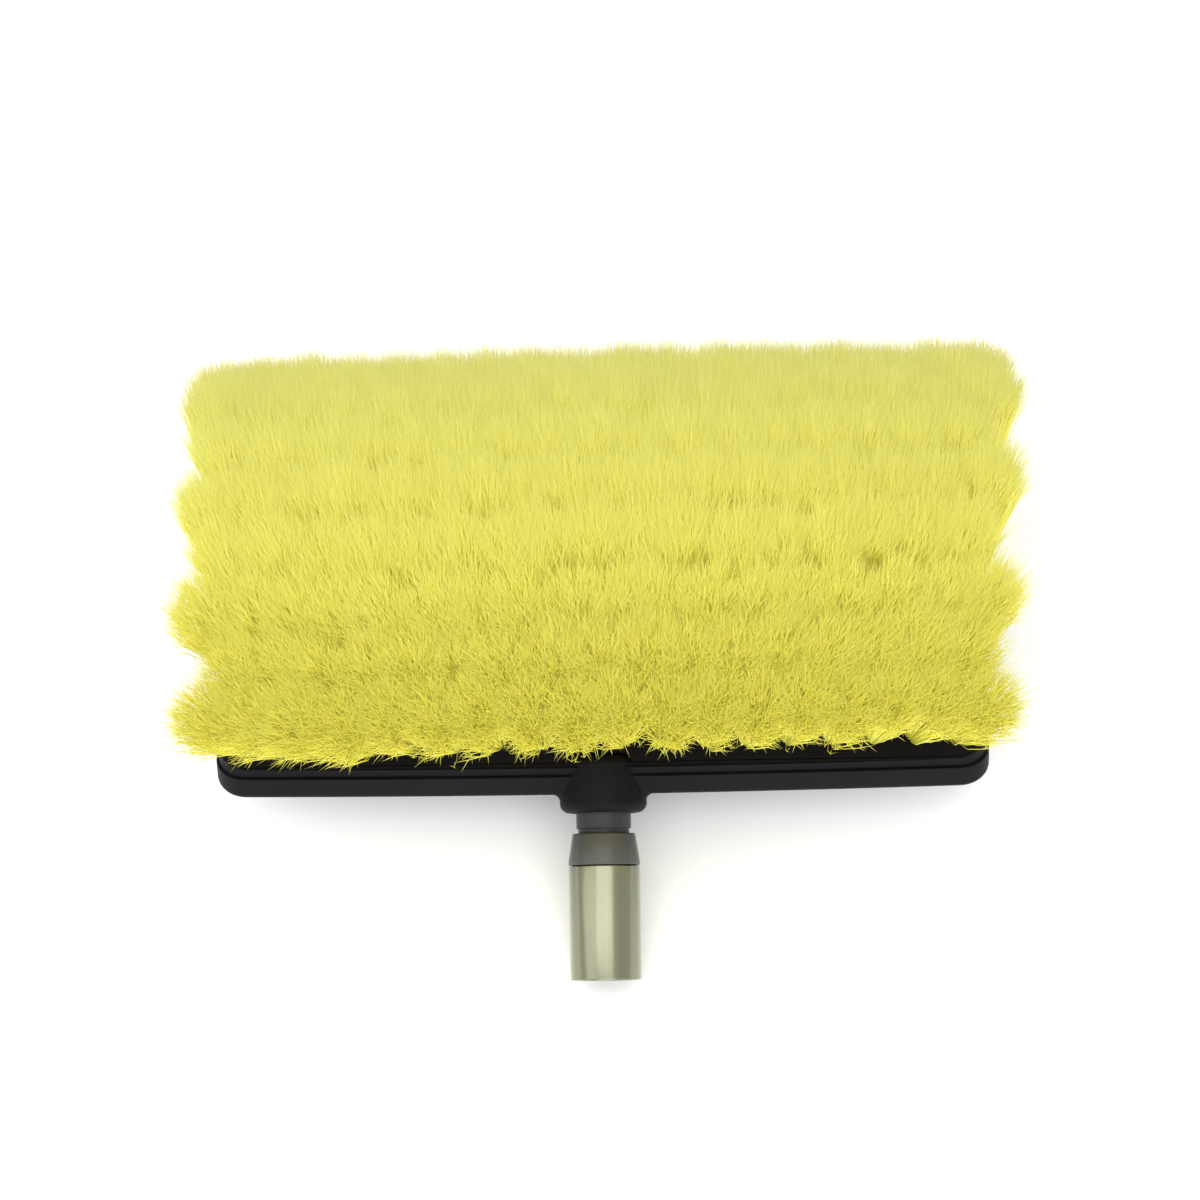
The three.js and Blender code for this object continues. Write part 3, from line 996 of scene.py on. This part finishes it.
    def _row(self, facet: Facet, row: int, row_number: int, place: Matrix) -> bpy.types.Mesh:
        """One row of tufts as a mesh of bent fibres.

        Args:
            facet: The face that the row stands on.
            row: The row's number on that face.
            row_number: Its number on the whole head.
            place: The face's frame in the row's frame.

        Returns:
            The mesh, with how far along its fibre each point is, and the fibre's tint.
        """
        points, faces = self._fibre()
        reach = HEAD.length / 2 - self.end_margin
        fan = self.fans[facet]
        width = HEAD.facet_width(facet)
        row_pitch = (width - fan.near_margin - self.far_margin) / (self.rows_per_facet - 1)
        across = fan.near_margin - width / 2 + row * row_pitch
        long_count = int(2 * reach / self.tuft_pitch) + 1
        is_short = row_number % 2
        count = long_count - is_short
        half_row = (long_count - 1) / 2 * self.tuft_pitch - is_short * self.short_row_inset
        lots, heights, tints = [], [], []
        for index in range(count):
            along = half_row * (2 * index / (count - 1) - 1)
            root = self._clear_root(along, across, place)
            side = along / reach
            outward = math.radians(self.end_fan * side)
            back = math.radians(fan.leans[row] + self.back_set_right * side)
            lean = Vector((math.tan(outward), math.tan(back), 1.0)).normalized()
            lean *= 1.0 + fan.longer + self.longer_right * side
            lots.append(self._tuft(points, np.array(root), np.array(lean)))
            heights.append(np.tile(points[:, 2], self.fibres))
            tints.append(np.repeat(self.random.random(self.fibres), len(points)))
        spots = np.concatenate(lots)
        turned = spots @ np.array(place.to_3x3()).T + np.array(place.translation)
        copies = len(spots) // len(points)
        corners = (faces[None] + len(points) * np.arange(copies)[:, None, None]).reshape(-1, 3)
        name = f"bristle_row_{row_number + 1}"
        return self._mesh(name, turned, corners, np.concatenate(heights), np.concatenate(tints))

    def _clear_root(self, along: float, across: float, place: Matrix) -> Vector:
        """A tuft's place on its face; one that would run into the socket stands just behind it.

        Args:
            along: Its place along the row.
            across: Its place across the face.
            place: The face's frame in the row's frame.

        Returns:
            The place on the face.
        """
        root = Vector((along, across, 0.0))
        while self._meets_hub(place @ root):
            root.y += self.hub_step
        return root

    def _meets_hub(self, point: Vector) -> bool:
        """Whether a tuft at this point would run into the socket.

        Args:
            point: The point in the row's frame.

        Returns:
            True where it would.
        """
        seen = self.frames.pole.inverted() @ point
        beside = math.hypot(seen.x, seen.z) - SOCKET.radius
        return max(beside, seen.y - SOCKET.end) < self.hub_margin

    def _tuft(self, points: np.ndarray, root: np.ndarray, lean: np.ndarray) -> np.ndarray:
        """The points of one tuft's fibres, spread evenly over its hole and flaring to their tips.

        Args:
            points: One straight fibre's points.
            root: The tuft's place on its face.
            lean: The tuft's direction, as long as the share of a full bristle that it has.

        Returns:
            The bent fibres' points, fibre by fibre.
        """
        draw = self.random
        number = self.fibres
        wander = draw.normal(0.0, self.wander, 3) * (1.0, 1.0, 0.0)
        axis = lean + wander
        share_of_full = np.linalg.norm(lean)
        axis /= np.linalg.norm(axis)
        first = np.cross(axis, (0.0, 1.0, 0.0))
        first /= np.linalg.norm(first)
        second = np.cross(axis, first)
        radius = np.sqrt(draw.random(number))
        angle = draw.random(number) * 2 * math.pi
        spoke = np.cos(angle)[:, None] * first + self.across_share * np.sin(angle)[:, None] * second
        reach = self.length * share_of_full * (1.0 + draw.normal(0.0, self.tuft_jitter))
        uneven = draw.normal(0.0, self.length_jitter, number)
        height = reach * (1.0 - self.dome * radius**2 + uneven)
        stray = np.where(draw.random(number) < self.stray_share, self.stray_reach, 1.0)
        start = root + spoke * (radius * self.root_radius)[:, None]
        flare = spoke * (radius * stray * (self.tip_radius - self.root_radius))[:, None]
        curl = draw.normal(0.0, self.curl, (number, 3))
        spin = draw.random(number) * 2 * math.pi
        side = np.cos(spin)[:, None] * first + np.sin(spin)[:, None] * second
        other = np.cross(axis, side)
        short = draw.random(number) < self.short_share
        size = np.where(short, draw.uniform(self.shortest, 1.0, number), 1.0)[:, None]
        late = draw.normal(self.late_flare, self.flare_jitter, number)
        late = np.clip(late, self.earliest_flare, 1.0)
        late = np.where(short, self.earliest_flare, late)[:, None, None]
        share = points[:, 2][None, :, None]
        bent = start[:, None] + axis * ((size * height[:, None])[:, :, None] * share)
        bent = bent + flare[:, None] * ((1.0 - late) * share + late * share**2)
        bent = bent + curl[:, None] * share**self.curl_power
        bent = bent + (size * side)[:, None] * points[:, 0][None, :, None]
        bent = bent + (size * other)[:, None] * points[:, 1][None, :, None]
        return bent.reshape(-1, 3)

    @staticmethod
    def _mesh(
        name: str, spots: np.ndarray, corners: np.ndarray, along: np.ndarray, tint: np.ndarray
    ) -> bpy.types.Mesh:
        """A mesh of triangles with two values on its points.

        Args:
            name: Its name.
            spots: Its points.
            corners: Its triangles' point numbers.
            along: How far along its fibre each point is.
            tint: Each point's tint.

        Returns:
            The mesh.
        """
        made = bpy.data.meshes.new(name)
        made.vertices.add(len(spots))
        made.vertices.foreach_set("co", spots.astype(np.float32).ravel())
        made.loops.add(corners.size)
        made.loops.foreach_set("vertex_index", corners.astype(np.int32).ravel())
        made.polygons.add(len(corners))
        made.polygons.foreach_set("loop_start", np.arange(0, corners.size, 3, dtype=np.int32))
        made.polygons.foreach_set("use_smooth", np.ones(len(corners), dtype=bool))
        made.update(calc_edges=True)
        for label, values in (("along", along), ("tint", tint)):
            kept = made.attributes.new(label, "FLOAT", "POINT")
            kept.data.foreach_set("value", values.astype(np.float32))
        return made


@dataclass
class HeadMoulding:
    """The back shell with its socket, and the tuft plate."""

    frames: BrushFrames
    finish: bpy.types.Material

    @staticmethod
    def hub_shape(grow: float) -> bmesh.types.BMesh:
        """The socket's outside in the pole's frame, grown by an offset.

        Args:
            grow: The offset.

        Returns:
            A closed mesh.
        """
        radius = SOCKET.radius + grow
        low = -SOCKET.overhang - grow
        high = SOCKET.end + grow
        shape = Bench.spin([(0.0, low), (radius, low), (radius, high), (0.0, high)], ROUND_STEPS)
        Bench.round_edges(shape, SOCKET.mouth_round, SOCKET.mouth_steps, SOCKET.mouth_degrees)
        return shape

    @staticmethod
    def bed_shape(facet: Facet, grow: float) -> bmesh.types.BMesh:
        """The slice that a face's tufts stand in, in the face's frame, grown by an offset.

        Args:
            facet: The face.
            grow: The offset.

        Returns:
            A closed mesh.
        """
        length = HEAD.length - 2 * (HEAD.plate_inset + HEAD.end_draft + HEAD.bed_margin - grow)
        width = HEAD.facet_width(facet) - 2 * (HEAD.bed_margin - grow)
        shape = Bench.box((length, width, HEAD.bed_thickness + 2 * grow), HEAD.bed_corner + grow)
        bmesh.ops.translate(shape, vec=(0.0, 0.0, -HEAD.bed_thickness / 2), verts=shape.verts)
        return shape

    def _tail_shape(self) -> bmesh.types.BMesh:
        """The socket's tail, tapering into the shell's back.

        Returns:
            A closed mesh in the head's frame.
        """
        radius = SOCKET.radius - SOCKET.tail_step
        end = SOCKET.end
        profile = [(0.0, 0.0), (radius, 0.0), (radius, end - SOCKET.mouth_round)]
        for step in range(1, SOCKET.tail_steps + 1):
            share = step / SOCKET.tail_steps
            taper = math.cos(share * math.pi / 2) ** SOCKET.tail_fullness
            profile.append((radius * taper, end + share * SOCKET.tail_length))
        profile[-1] = (0.0, profile[-1][1])
        shape = self._to_head(Bench.spin(profile, ROUND_STEPS))
        self._trim(shape, (0.0, 0.0, HEAD.back_round - HEAD.shell_height), AXIS_Z)
        return shape

    @staticmethod
    def _trim(shape: bmesh.types.BMesh, point: tuple[float, float, float], normal: Vector) -> None:
        """Takes away what lies beyond a plane and closes the cut.

        Args:
            shape: The mesh.
            point: A point on the plane.
            normal: The side that goes.
        """
        cut = bmesh.ops.bisect_plane(
            shape,
            geom=[*shape.verts, *shape.edges, *shape.faces],
            plane_co=point,
            plane_no=normal,
            clear_outer=True,
        )["geom_cut"]
        bmesh.ops.holes_fill(shape, edges=Bench.only(cut, bmesh.types.BMEdge))

    @staticmethod
    def _plan(inset: float, low: float, high: float) -> bmesh.types.BMesh:
        """A slab of the head's plan with its near side bowed.

        Args:
            inset: How far it is drawn in from the head's edge.
            low: Its underside's height.
            high: Its top's height.

        Returns:
            A closed mesh.
        """
        size = (HEAD.length - 2 * inset, HEAD.depth - HEAD.bow - 2 * inset, high - low)
        shape = Bench.box(size, HEAD.corner - inset)
        bmesh.ops.translate(shape, vec=(0.0, HEAD.bow / 2, (low + high) / 2), verts=shape.verts)
        near = HEAD.bow + inset - HEAD.depth / 2 + LEVEL
        sides = [edge for edge in shape.edges if all(vert.co.y < near for vert in edge.verts)]
        sides = [edge for edge in sides if abs((edge.verts[0].co - edge.verts[1].co).x) > MM]
        bmesh.ops.subdivide_edges(shape, edges=sides, cuts=HEAD.bow_cuts, use_grid_fill=True)
        reach = HEAD.length / 2 - HEAD.corner
        for vert in shape.verts:
            if vert.co.y < near:
                vert.co.y -= HEAD.bow * (1.0 - (vert.co.x / reach) ** 2)
        return shape

    @staticmethod
    def _block_front(height: float, offset: float) -> tuple[float, Vector]:
        """Where a line along the pole meets the block's near back edge, grown by an offset.

        Args:
            height: The line's height over the pole's axis.
            offset: The offset.

        Returns:
            The station along the pole, and the edge's outward normal there.
        """
        lean = math.radians(HEAD.pole_degrees)
        wall = Vector((0.0, -math.cos(lean), math.sin(lean)))
        back = Vector((0.0, -math.sin(lean), -math.cos(lean)))
        middle = Vector((0.0, 0.0, HEAD.axis_behind_edge)) - HEAD.back_round * (wall + back)
        reach = HEAD.back_round + offset
        rise = min(max(height - middle.z, reach * back.z), reach * wall.z)
        normal = Vector((0.0, -math.sqrt(reach**2 - rise**2), rise)) / reach
        beyond = height - middle.z - rise
        return middle.y + reach * normal.y - beyond * normal.z / normal.y, normal

    def _root_fillet(self) -> bmesh.types.BMesh:
        """The hollow round both sides of the socket's root, as a rolled ball would leave it.

        Returns:
            A closed mesh in the pole's frame.
        """
        sheet = bmesh.new()
        bmesh.ops.create_grid(
            sheet,
            x_segments=SOCKET.fillet_steps_round,
            y_segments=SOCKET.fillet_steps_across,
            size=0.5,
        )
        sweep = SOCKET.fillet_to - SOCKET.fillet_from
        thinnest = SOCKET.fillet_thinnest
        for vert in sheet.verts:
            share = vert.co.x + 0.5
            turn = math.radians(SOCKET.fillet_from + share * sweep)
            swell = thinnest + (1.0 - thinnest) * math.sin(share * math.pi)
            ball = SOCKET.fillet * math.sqrt(swell)
            out = Vector((math.sin(turn), 0.0, math.cos(turn)))
            clear = ball - SOCKET.fillet_sunk
            middle = out * (SOCKET.radius + clear)
            middle.y, away = self._block_front(middle.z, clear)
            vert.co = middle + ball * (-out).slerp(-away, vert.co.y + 0.5)
        bmesh.ops.recalc_face_normals(sheet, faces=sheet.faces)
        bmesh.ops.solidify(sheet, geom=sheet.faces[:], thickness=SOCKET.fillet_skin)
        half = [*sheet.verts, *sheet.edges, *sheet.faces]
        bmesh.ops.mirror(sheet, geom=half, axis="X", merge_dist=0.0)
        bmesh.ops.recalc_face_normals(sheet, faces=sheet.faces)
        return sheet

    def _block_shape(self) -> bmesh.types.BMesh:
        """The shell's block in the head's frame, with its back edge round.

        Returns:
            A closed mesh.
        """
        shape = self._plan(0.0, -HEAD.shell_height, 0.0)
        back = (-HEAD.shell_height, HEAD.back_round, HEAD.back_steps)
        parting = (0.0, HEAD.edge_round, HEAD.edge_steps)
        for height, radius, segments in (back, parting):
            rim = [
                edge
                for edge in shape.edges
                if all(abs(vert.co.z - height) < LEVEL for vert in edge.verts)
                and edge.calc_face_angle() > math.radians(HEAD.rim_degrees)
            ]
            Bench.bevel(shape, rim, radius, segments)
        return shape

    def _to_head(self, shape: bmesh.types.BMesh) -> bmesh.types.BMesh:
        """Moves a shape from the pole's frame to the head's.

        Args:
            shape: The mesh.

        Returns:
            The same mesh.
        """
        matrix = self.frames.head.inverted() @ self.frames.pole
        bmesh.ops.transform(shape, matrix=matrix, verts=shape.verts)
        return shape

    def build(self) -> None:
        """Makes the shell and the plate."""
        for shape, name, node, slot in (
            (self._shell(), "back_shell_moulding", "back_shell", "shell_plastic"),
            (self._plate(), "tuft_plate_moulding", "tuft_plate", "plate_plastic"),
        ):
            Bench.smooth(shape)
            mesh = Bench.mesh(shape, name, self.frames.head)
            Bench.keep_flat(Bench.show(mesh, HEAD_BODY, slot, node, self.finish))

    def _shell(self) -> bmesh.types.BMesh:
        """The shell: its block, the socket with a filleted root, and the screws' seats.

        Returns:
            A closed mesh in the head's frame.
        """
        shell = Bench.cut(self._block_shape(), self._to_head(self.hub_shape(0.0)), Cut.JOIN)
        shell = Bench.cut(shell, self._to_head(self._root_fillet()), Cut.JOIN)
        shell = Bench.cut(shell, self._tail_shape(), Cut.JOIN)
        radius = SOCKET.bore_radius
        outside = -3 * SOCKET.overhang
        profile = [(0.0, outside), (radius, outside), (radius, SOCKET.floor), (0.0, SOCKET.floor)]
        bore = Bench.spin(profile, ROUND_STEPS)
        shell = Bench.cut(shell, self._to_head(bore), Cut.REMOVE)
        for place in SCREW.places:
            room = SCREW.head_radius + SCREW.clearance
            seat = Bench.rod(room, -2 * HEAD.shell_height, SCREW.seat + SCREW.clearance, place)
            shell = Bench.cut(shell, seat, Cut.REMOVE)
        return shell

    def _plate(self) -> bmesh.types.BMesh:
        """The plate: three faces that fan the tufts, recessed for the slices they stand in.

        Returns:
            A closed mesh in the head's frame.
        """
        half = HEAD.depth / 2 - HEAD.plate_inset
        inner = HEAD.centre_width / 2
        right = [(half, HEAD.plate_gap), (half, HEAD.wing_low), (HEAD.wing_outer, HEAD.wing_low)]
        right.append((inner, HEAD.plate_top))
        left = [(-across, height) for across, height in reversed(right)]
        plate = Bench.drawn(right + left, HEAD.length)
        plate = Bench.cut(plate, self._plan(HEAD.plate_inset, 0.0, 2 * HEAD.plate_top), Cut.KEEP)
        end = HEAD.length / 2 - HEAD.plate_inset
        for side in (-1.0, 1.0):
            slope = Vector((side * (HEAD.plate_top - HEAD.wing_low), 0.0, HEAD.end_draft))
            self._trim(plate, (side * end, 0.0, HEAD.wing_low), slope)
        Bench.round_edges(plate, HEAD.edge_round, HEAD.edge_steps, HEAD.sharp_degrees)
        for facet in Facet:
            recess = self.bed_shape(facet, HEAD.plate_gap)
            bmesh.ops.translate(recess, vec=(0.0, 0.0, HEAD.plate_gap), verts=recess.verts)
            bmesh.ops.transform(recess, matrix=HEAD.facet_frame(facet), verts=recess.verts)
            plate = Bench.cut(plate, recess, Cut.REMOVE)
        return Bench.cut(plate, self._to_head(self.hub_shape(HEAD.plate_gap)), Cut.REMOVE)


@dataclass
class PlateScrews:
    """The six pan-head screws that hold the plate to the shell."""

    frames: BrushFrames
    finish: bpy.types.Material

    def build(self) -> None:
        """Makes every screw from one shape."""
        pattern = self._screw()
        for number, (along, across) in enumerate(SCREW.places, start=1):
            place = self.frames.head @ Matrix.Translation((along, across, 0.0))
            mesh = Bench.mesh(pattern.copy(), f"pan_head_screw_{number}", place)
            Bench.show(mesh, HEAD_BODY, "screw_steel", f"plate_screw_{number}", self.finish)
        pattern.free()

    def _screw(self) -> bmesh.types.BMesh:
        """One screw along Z, its crossed recess in the crown that faces the shell's back.

        Returns:
            A closed mesh.
        """
        crown = SCREW.seat - SCREW.head_height
        flat = SCREW.crown_flat * SCREW.head_radius
        shape = Bench.spin(
            [
                (0.0, crown),
                (flat, crown + SCREW.crown_rise * SCREW.head_height),
                (SCREW.head_radius, crown + SCREW.crown_shoulder * SCREW.head_height),
                (SCREW.head_radius, SCREW.seat),
                (SCREW.shank_radius, SCREW.seat),
                (SCREW.shank_radius, SCREW.point - SCREW.shank_radius),
                (0.0, SCREW.point),
            ],
            SCREW.steps,
        )
        Bench.round_edges(shape, SCREW.edge_round, SCREW.edge_steps, SCREW.sharp_degrees)
        upright = Matrix.Rotation(math.pi / 2, 3, "X")
        bmesh.ops.rotate(shape, matrix=upright, verts=shape.verts)
        for turn in (0.0, math.pi / 2):
            slot = Bench.box((SCREW.recess_length, SCREW.recess_width, 2 * SCREW.recess_depth))
            for vert in slot.verts:
                if vert.co.z > 0.0:
                    vert.co.xy *= SCREW.recess_taper
            matrix = Matrix.Translation((0.0, 0.0, crown)) @ Matrix.Rotation(turn, 4, "Z")
            bmesh.ops.transform(slot, matrix=matrix, verts=slot.verts)
            shape = Bench.cut(shape, slot, Cut.REMOVE)
        Bench.smooth(shape)
        return shape


@dataclass
class PoleEnd:
    """The pole's tube and its screw-in tip."""

    frames: BrushFrames
    metal: bpy.types.Material
    grey: bpy.types.Material
    collar_lit_copy: bpy.types.Material

    def build(self) -> None:
        """Makes both pieces."""
        Bench.show(self._tube(), POLE_BODY, "tube_metal", "pole_tube", self.metal)
        greys = (self.grey, self.collar_lit_copy)
        Bench.show(self._tip(), POLE_BODY, "tip_plastic", "threaded_tip", *greys)

    def _tube(self) -> bpy.types.Mesh:
        """The straight tube with its rims broken.

        Returns:
            The mesh, in place.
        """
        outer = POLE.tube_radius
        inner = outer - POLE.tube_wall
        ends = (POLE.tube_end, POLE.tube_start)
        corners = [(outer, end) for end in ends] + [(inner, end) for end in reversed(ends)]
        shape = Bench.spin([*corners, corners[0]], POLE.tube_steps)
        Bench.round_edges(shape, POLE.edge_round, POLE.rim_steps, POLE.smooth_degrees)
        Bench.smooth(shape, POLE.smooth_degrees)
        return Bench.mesh(shape, "pole_tube_drawn", self.frames.pole)

    def _tip(self) -> bpy.types.Mesh:
        """The tip: a shank inside the tube, a tapered collar, a neck and a screw thread.

        Returns:
            The mesh, in place.
        """
        start = (POLE.bore_radius, POLE.shank_end)
        seal_at = (POLE.tube_start + POLE.shank_end) / 2
        seal_room = POLE.seal_section / 2 + POLE.gap
        seal_floor = POLE.shank_radius - POLE.seal_section + POLE.gap
        nose_end = POLE.thread_end + POLE.nose_length
        shape = Bench.spin(
            [
                start,
                (POLE.shank_radius, POLE.shank_end),
                (POLE.shank_radius, seal_at - seal_room),
                (seal_floor, seal_at - seal_room),
                (seal_floor, seal_at + seal_room),
                (POLE.shank_radius, seal_at + seal_room),
                (POLE.shank_radius, POLE.collar_end),
                (POLE.tube_radius, POLE.collar_end),
                (POLE.tube_radius, POLE.collar_end + POLE.collar_rim),
                (POLE.collar_top, POLE.collar_start),
                (POLE.relief_radius, POLE.collar_start),
                (POLE.relief_radius, POLE.neck_end),
                (POLE.neck_radius, POLE.neck_end),
                (POLE.neck_radius, POLE.neck_start),
                (POLE.thread_root, POLE.neck_start + POLE.thread_lead),
                (POLE.thread_root, POLE.thread_end),
                (POLE.nose_radius, POLE.thread_end),
                (POLE.nose_radius, nose_end),
                (POLE.bore_radius, nose_end),
                start,
            ],
            ROUND_STEPS,
        )
        Bench.round_edges(shape, POLE.edge_round, POLE.edge_steps, POLE.sharp_degrees)
        # The collar's faces take a lighter, glossier copy of the tip's grey: a painted highlight
        # for the light the collar's cone catches.
        collar_lit_from = POLE.collar_start - POLE.edge_round
        for face in shape.faces:
            face.material_index = int(face.calc_center_median().y < collar_lit_from)
        self._add_thread(shape)
        Bench.smooth(shape, POLE.smooth_degrees)
        return Bench.mesh(shape, "threaded_tip_moulding", self.frames.pole)

    def _add_thread(self, shape: bmesh.types.BMesh) -> None:
        """Winds a screw thread's ridge round the tip, its root sunk a little in the core.

        Args:
            shape: The tip's mesh.
        """
        pitch = POLE.thread_pitch
        root = POLE.thread_root - POLE.edge_round
        low = POLE.neck_start + POLE.thread_lead
        foot = POLE.thread_foot
        turns = (POLE.thread_end - low - foot) / pitch
        steps = int(ROUND_STEPS * turns)
        profile = [
            (root, 0.0),
            (POLE.thread_radius, (foot - POLE.thread_crest) / 2),
            (POLE.thread_radius, (foot + POLE.thread_crest) / 2),
            (root, foot),
        ]
        corners = [shape.verts.new((radius, low + rise, 0.0)) for radius, rise in profile]
        face = shape.faces.new(corners)
        bmesh.ops.spin(
            shape,
            geom=[*corners, *face.edges, face],
            cent=(0.0, 0.0, 0.0),
            axis=AXIS_Y,
            dvec=AXIS_Y * (pitch * turns / steps),
            angle=2 * math.pi * turns,
            steps=steps,
        )
        bmesh.ops.recalc_face_normals(shape, faces=shape.faces)


@dataclass(frozen=True)
class Softbox:
    """One square light: its place from the target on the camera's axes, its side and its watts."""

    name: str
    offset: tuple[float, float, float]
    size: float
    power: float


@dataclass
class Studio:
    """The floor, the lights and the camera."""

    frames: BrushFrames
    lights: tuple[Softbox, ...] = (
        Softbox("front", (-0.05, 0.4, 1.8), 1.8, 23.0),
        Softbox("left_fill", (-1.25, 0.0, 1.1), 1.3, 7.0),
        Softbox("low_fill", (0.2, -1.2, 1.1), 1.2, 14.0),
    )
    sky: float = 1.0
    floor_size: float = 6.0
    floor_grey: float = 0.95
    floor_roughness: float = 0.75
    floor_mottle: float = 0.1
    floor_patches: float = 3.0
    floor_detail: float = 2.0
    pole_sight: float = 86.25
    swing: float = 1.3
    roll: float = 1.0
    distance: float = 2.4
    farthest: float = 20.0
    lens: float = 219.0
    mouth_pixel: tuple[float, float] = (603.5, 813.0)
    frame_pixels: float = 1200.0
    sensor: float = 36.0

    @property
    def axes(self) -> Matrix:
        """The camera's right, up and back directions as columns.

        Returns:
            The matrix of directions.
        """
        outward = -self.frames.pole.col[1].to_3d()
        lift = math.radians(self.pole_sight) - math.asin(-outward.z)
        back = Vector((0.0, -math.cos(lift), math.sin(lift)))
        level = Matrix((AXIS_X, back.cross(AXIS_X), back)).transposed()
        swing = Matrix.Rotation(math.radians(self.swing), 3, "Y")
        return level @ swing @ Matrix.Rotation(-math.radians(self.roll), 3, "Z")

    @property
    def target(self) -> Vector:
        """The point in the middle of the picture, level with the socket's mouth.

        Returns:
            The point in the row's frame.
        """
        metres = self.sensor / self.lens * self.distance / self.frame_pixels
        mouth = self.frames.pole @ Vector((0.0, -SOCKET.overhang, 0.0))
        right_by = (self.mouth_pixel[0] - self.frame_pixels / 2) * metres
        down_by = (self.mouth_pixel[1] - self.frame_pixels / 2) * metres
        return mouth + self.axes @ Vector((-right_by, down_by, 0.0))

    def build(self) -> None:
        """Sets the stage."""
        self._floor()
        self._sky()
        for box in self.lights:
            self._softbox(box)
        self._camera()

    def _floor(self) -> None:
        """A wide pale floor."""
        shape = bmesh.new()
        bmesh.ops.create_grid(shape, x_segments=1, y_segments=1, size=self.floor_size)
        mesh = Bench.mesh(shape, "floor", Matrix.Identity(4))
        kit = NodeKit("floor_paint")
        mottle = kit.noise(kit.place(), self.floor_patches, self.floor_detail)
        rough = self.floor_roughness + self.floor_mottle * mottle
        paint = (self.floor_grey, self.floor_grey, self.floor_grey, 1.0)
        mesh.materials.append(kit.surface({"Base Color": paint, "Roughness": rough}))
        floor = bpy.data.objects.new("floor", mesh)
        bpy.context.scene.collection.objects.link(floor)

    def _sky(self) -> None:
        """An even white sky."""
        world = bpy.data.worlds.new("sky")
        bpy.context.scene.world = world
        world.use_nodes = True
        background = world.node_tree.nodes["Background"]
        background.inputs["Color"].default_value = (1.0, 1.0, 1.0, 1.0)
        background.inputs["Strength"].default_value = self.sky

    def _softbox(self, box: Softbox) -> None:
        """Hangs one square light, aimed at the head.

        Args:
            box: The light.
        """
        data = bpy.data.lights.new(box.name, "AREA")
        data.size = box.size
        data.energy = box.power
        light = bpy.data.objects.new(box.name, data)
        light.location = self.target + self.axes @ Vector(box.offset)
        light.rotation_euler = (self.target - light.location).to_track_quat("-Z", "Y").to_euler()
        bpy.context.scene.collection.objects.link(light)

    def _camera(self) -> None:
        """The camera at the photograph's angle, with the socket's mouth at its place in it."""
        data = bpy.data.cameras.new("camera")
        data.sensor_width = self.sensor
        data.lens = self.lens
        data.clip_end = self.farthest
        camera = bpy.data.objects.new("camera", data)
        camera.location = self.target + self.axes.col[2] * self.distance
        camera.rotation_euler = self.axes.to_euler()
        bpy.context.scene.collection.objects.link(camera)
        bpy.context.scene.camera = camera


def dress(nodes: Iterable[str], finish: bpy.types.Material) -> None:
    """Gives CAD nodes that stay in view a finish.

    Args:
        nodes: The nodes' names.
        finish: Their material.
    """
    for name in nodes:
        mesh = frame["nodes"][name].data
        mesh.materials.clear()
        mesh.materials.append(finish)
        log.info("%s dressed with %s", name, finish.name)


def main() -> None:
    """Builds the brush around its frame."""
    logging.basicConfig(level=logging.INFO, format="%(message)s")
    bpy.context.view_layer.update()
    turning = next(joint for joint in frame["joints"] if joint["type"] == "hinge")
    frames = BrushFrames.from_joint(turning)
    tilt = math.atan2(frames.pole.col[1].z, frames.pole.col[1].y)
    black = MouldedPlastic(
        "moulded_black",
        colour=(0.005, 0.0045, 0.006),
        worn=(0.009, 0.008, 0.01),
        roughness=0.5,
        grain_depth=0.01 * MM,
        shine=0.065,
    )
    grey = MouldedPlastic(
        "gloss_grey",
        colour=(0.026, 0.026, 0.029),
        worn=(0.036, 0.036, 0.04),
        roughness=0.3,
        grain_depth=0.003 * MM,
        shine=0.14,
    )
    # A lighter, glossier copy of the tip's grey for the collar: a painted highlight, not a finish
    # of its own.
    collar_lit_copy = MouldedPlastic(
        "grey_lit_copy",
        colour=(0.056, 0.056, 0.051),
        worn=(0.072, 0.072, 0.066),
        roughness=0.24,
        grain_depth=0.004 * MM,
        shine=0.25,
    )
    rubber = MouldedPlastic(
        "soft_rubber",
        colour=(0.012, 0.012, 0.012),
        worn=(0.02, 0.02, 0.02),
        roughness=0.8,
        grain_depth=0.02 * MM,
        shine=0.2,
    )
    tube = DrawnMetal(
        "drawn_aluminium",
        # Both colours carry a yellow-olive tint: a painted reflection of the yellow bristles in the
        # grey metal.
        colour=(0.2, 0.205, 0.13),
        dull=(0.15, 0.155, 0.09),
        roughness=0.24,
        tilt=tilt,
    )
    steel = DrawnMetal(
        "screw_steel",
        colour=(0.56, 0.57, 0.58),
        dull=(0.4, 0.41, 0.42),
        roughness=0.3,
        tilt=0.0,
    )
    black_plastic = black.material()
    Studio(frames).build()
    HeadMoulding(frames, black_plastic).build()
    PlateScrews(frames, steel.material()).build()
    PoleEnd(frames, tube.material(), grey.material(), collar_lit_copy.material()).build()
    BristleField(frames, BristleFibre().material(), black_plastic).build()
    dress(["chamber_gasket", "thread_washer", "tip_seal"], rubber.material())
    bpy.context.scene.view_settings.view_transform = "Standard"


if __name__ == "__main__":
    main()
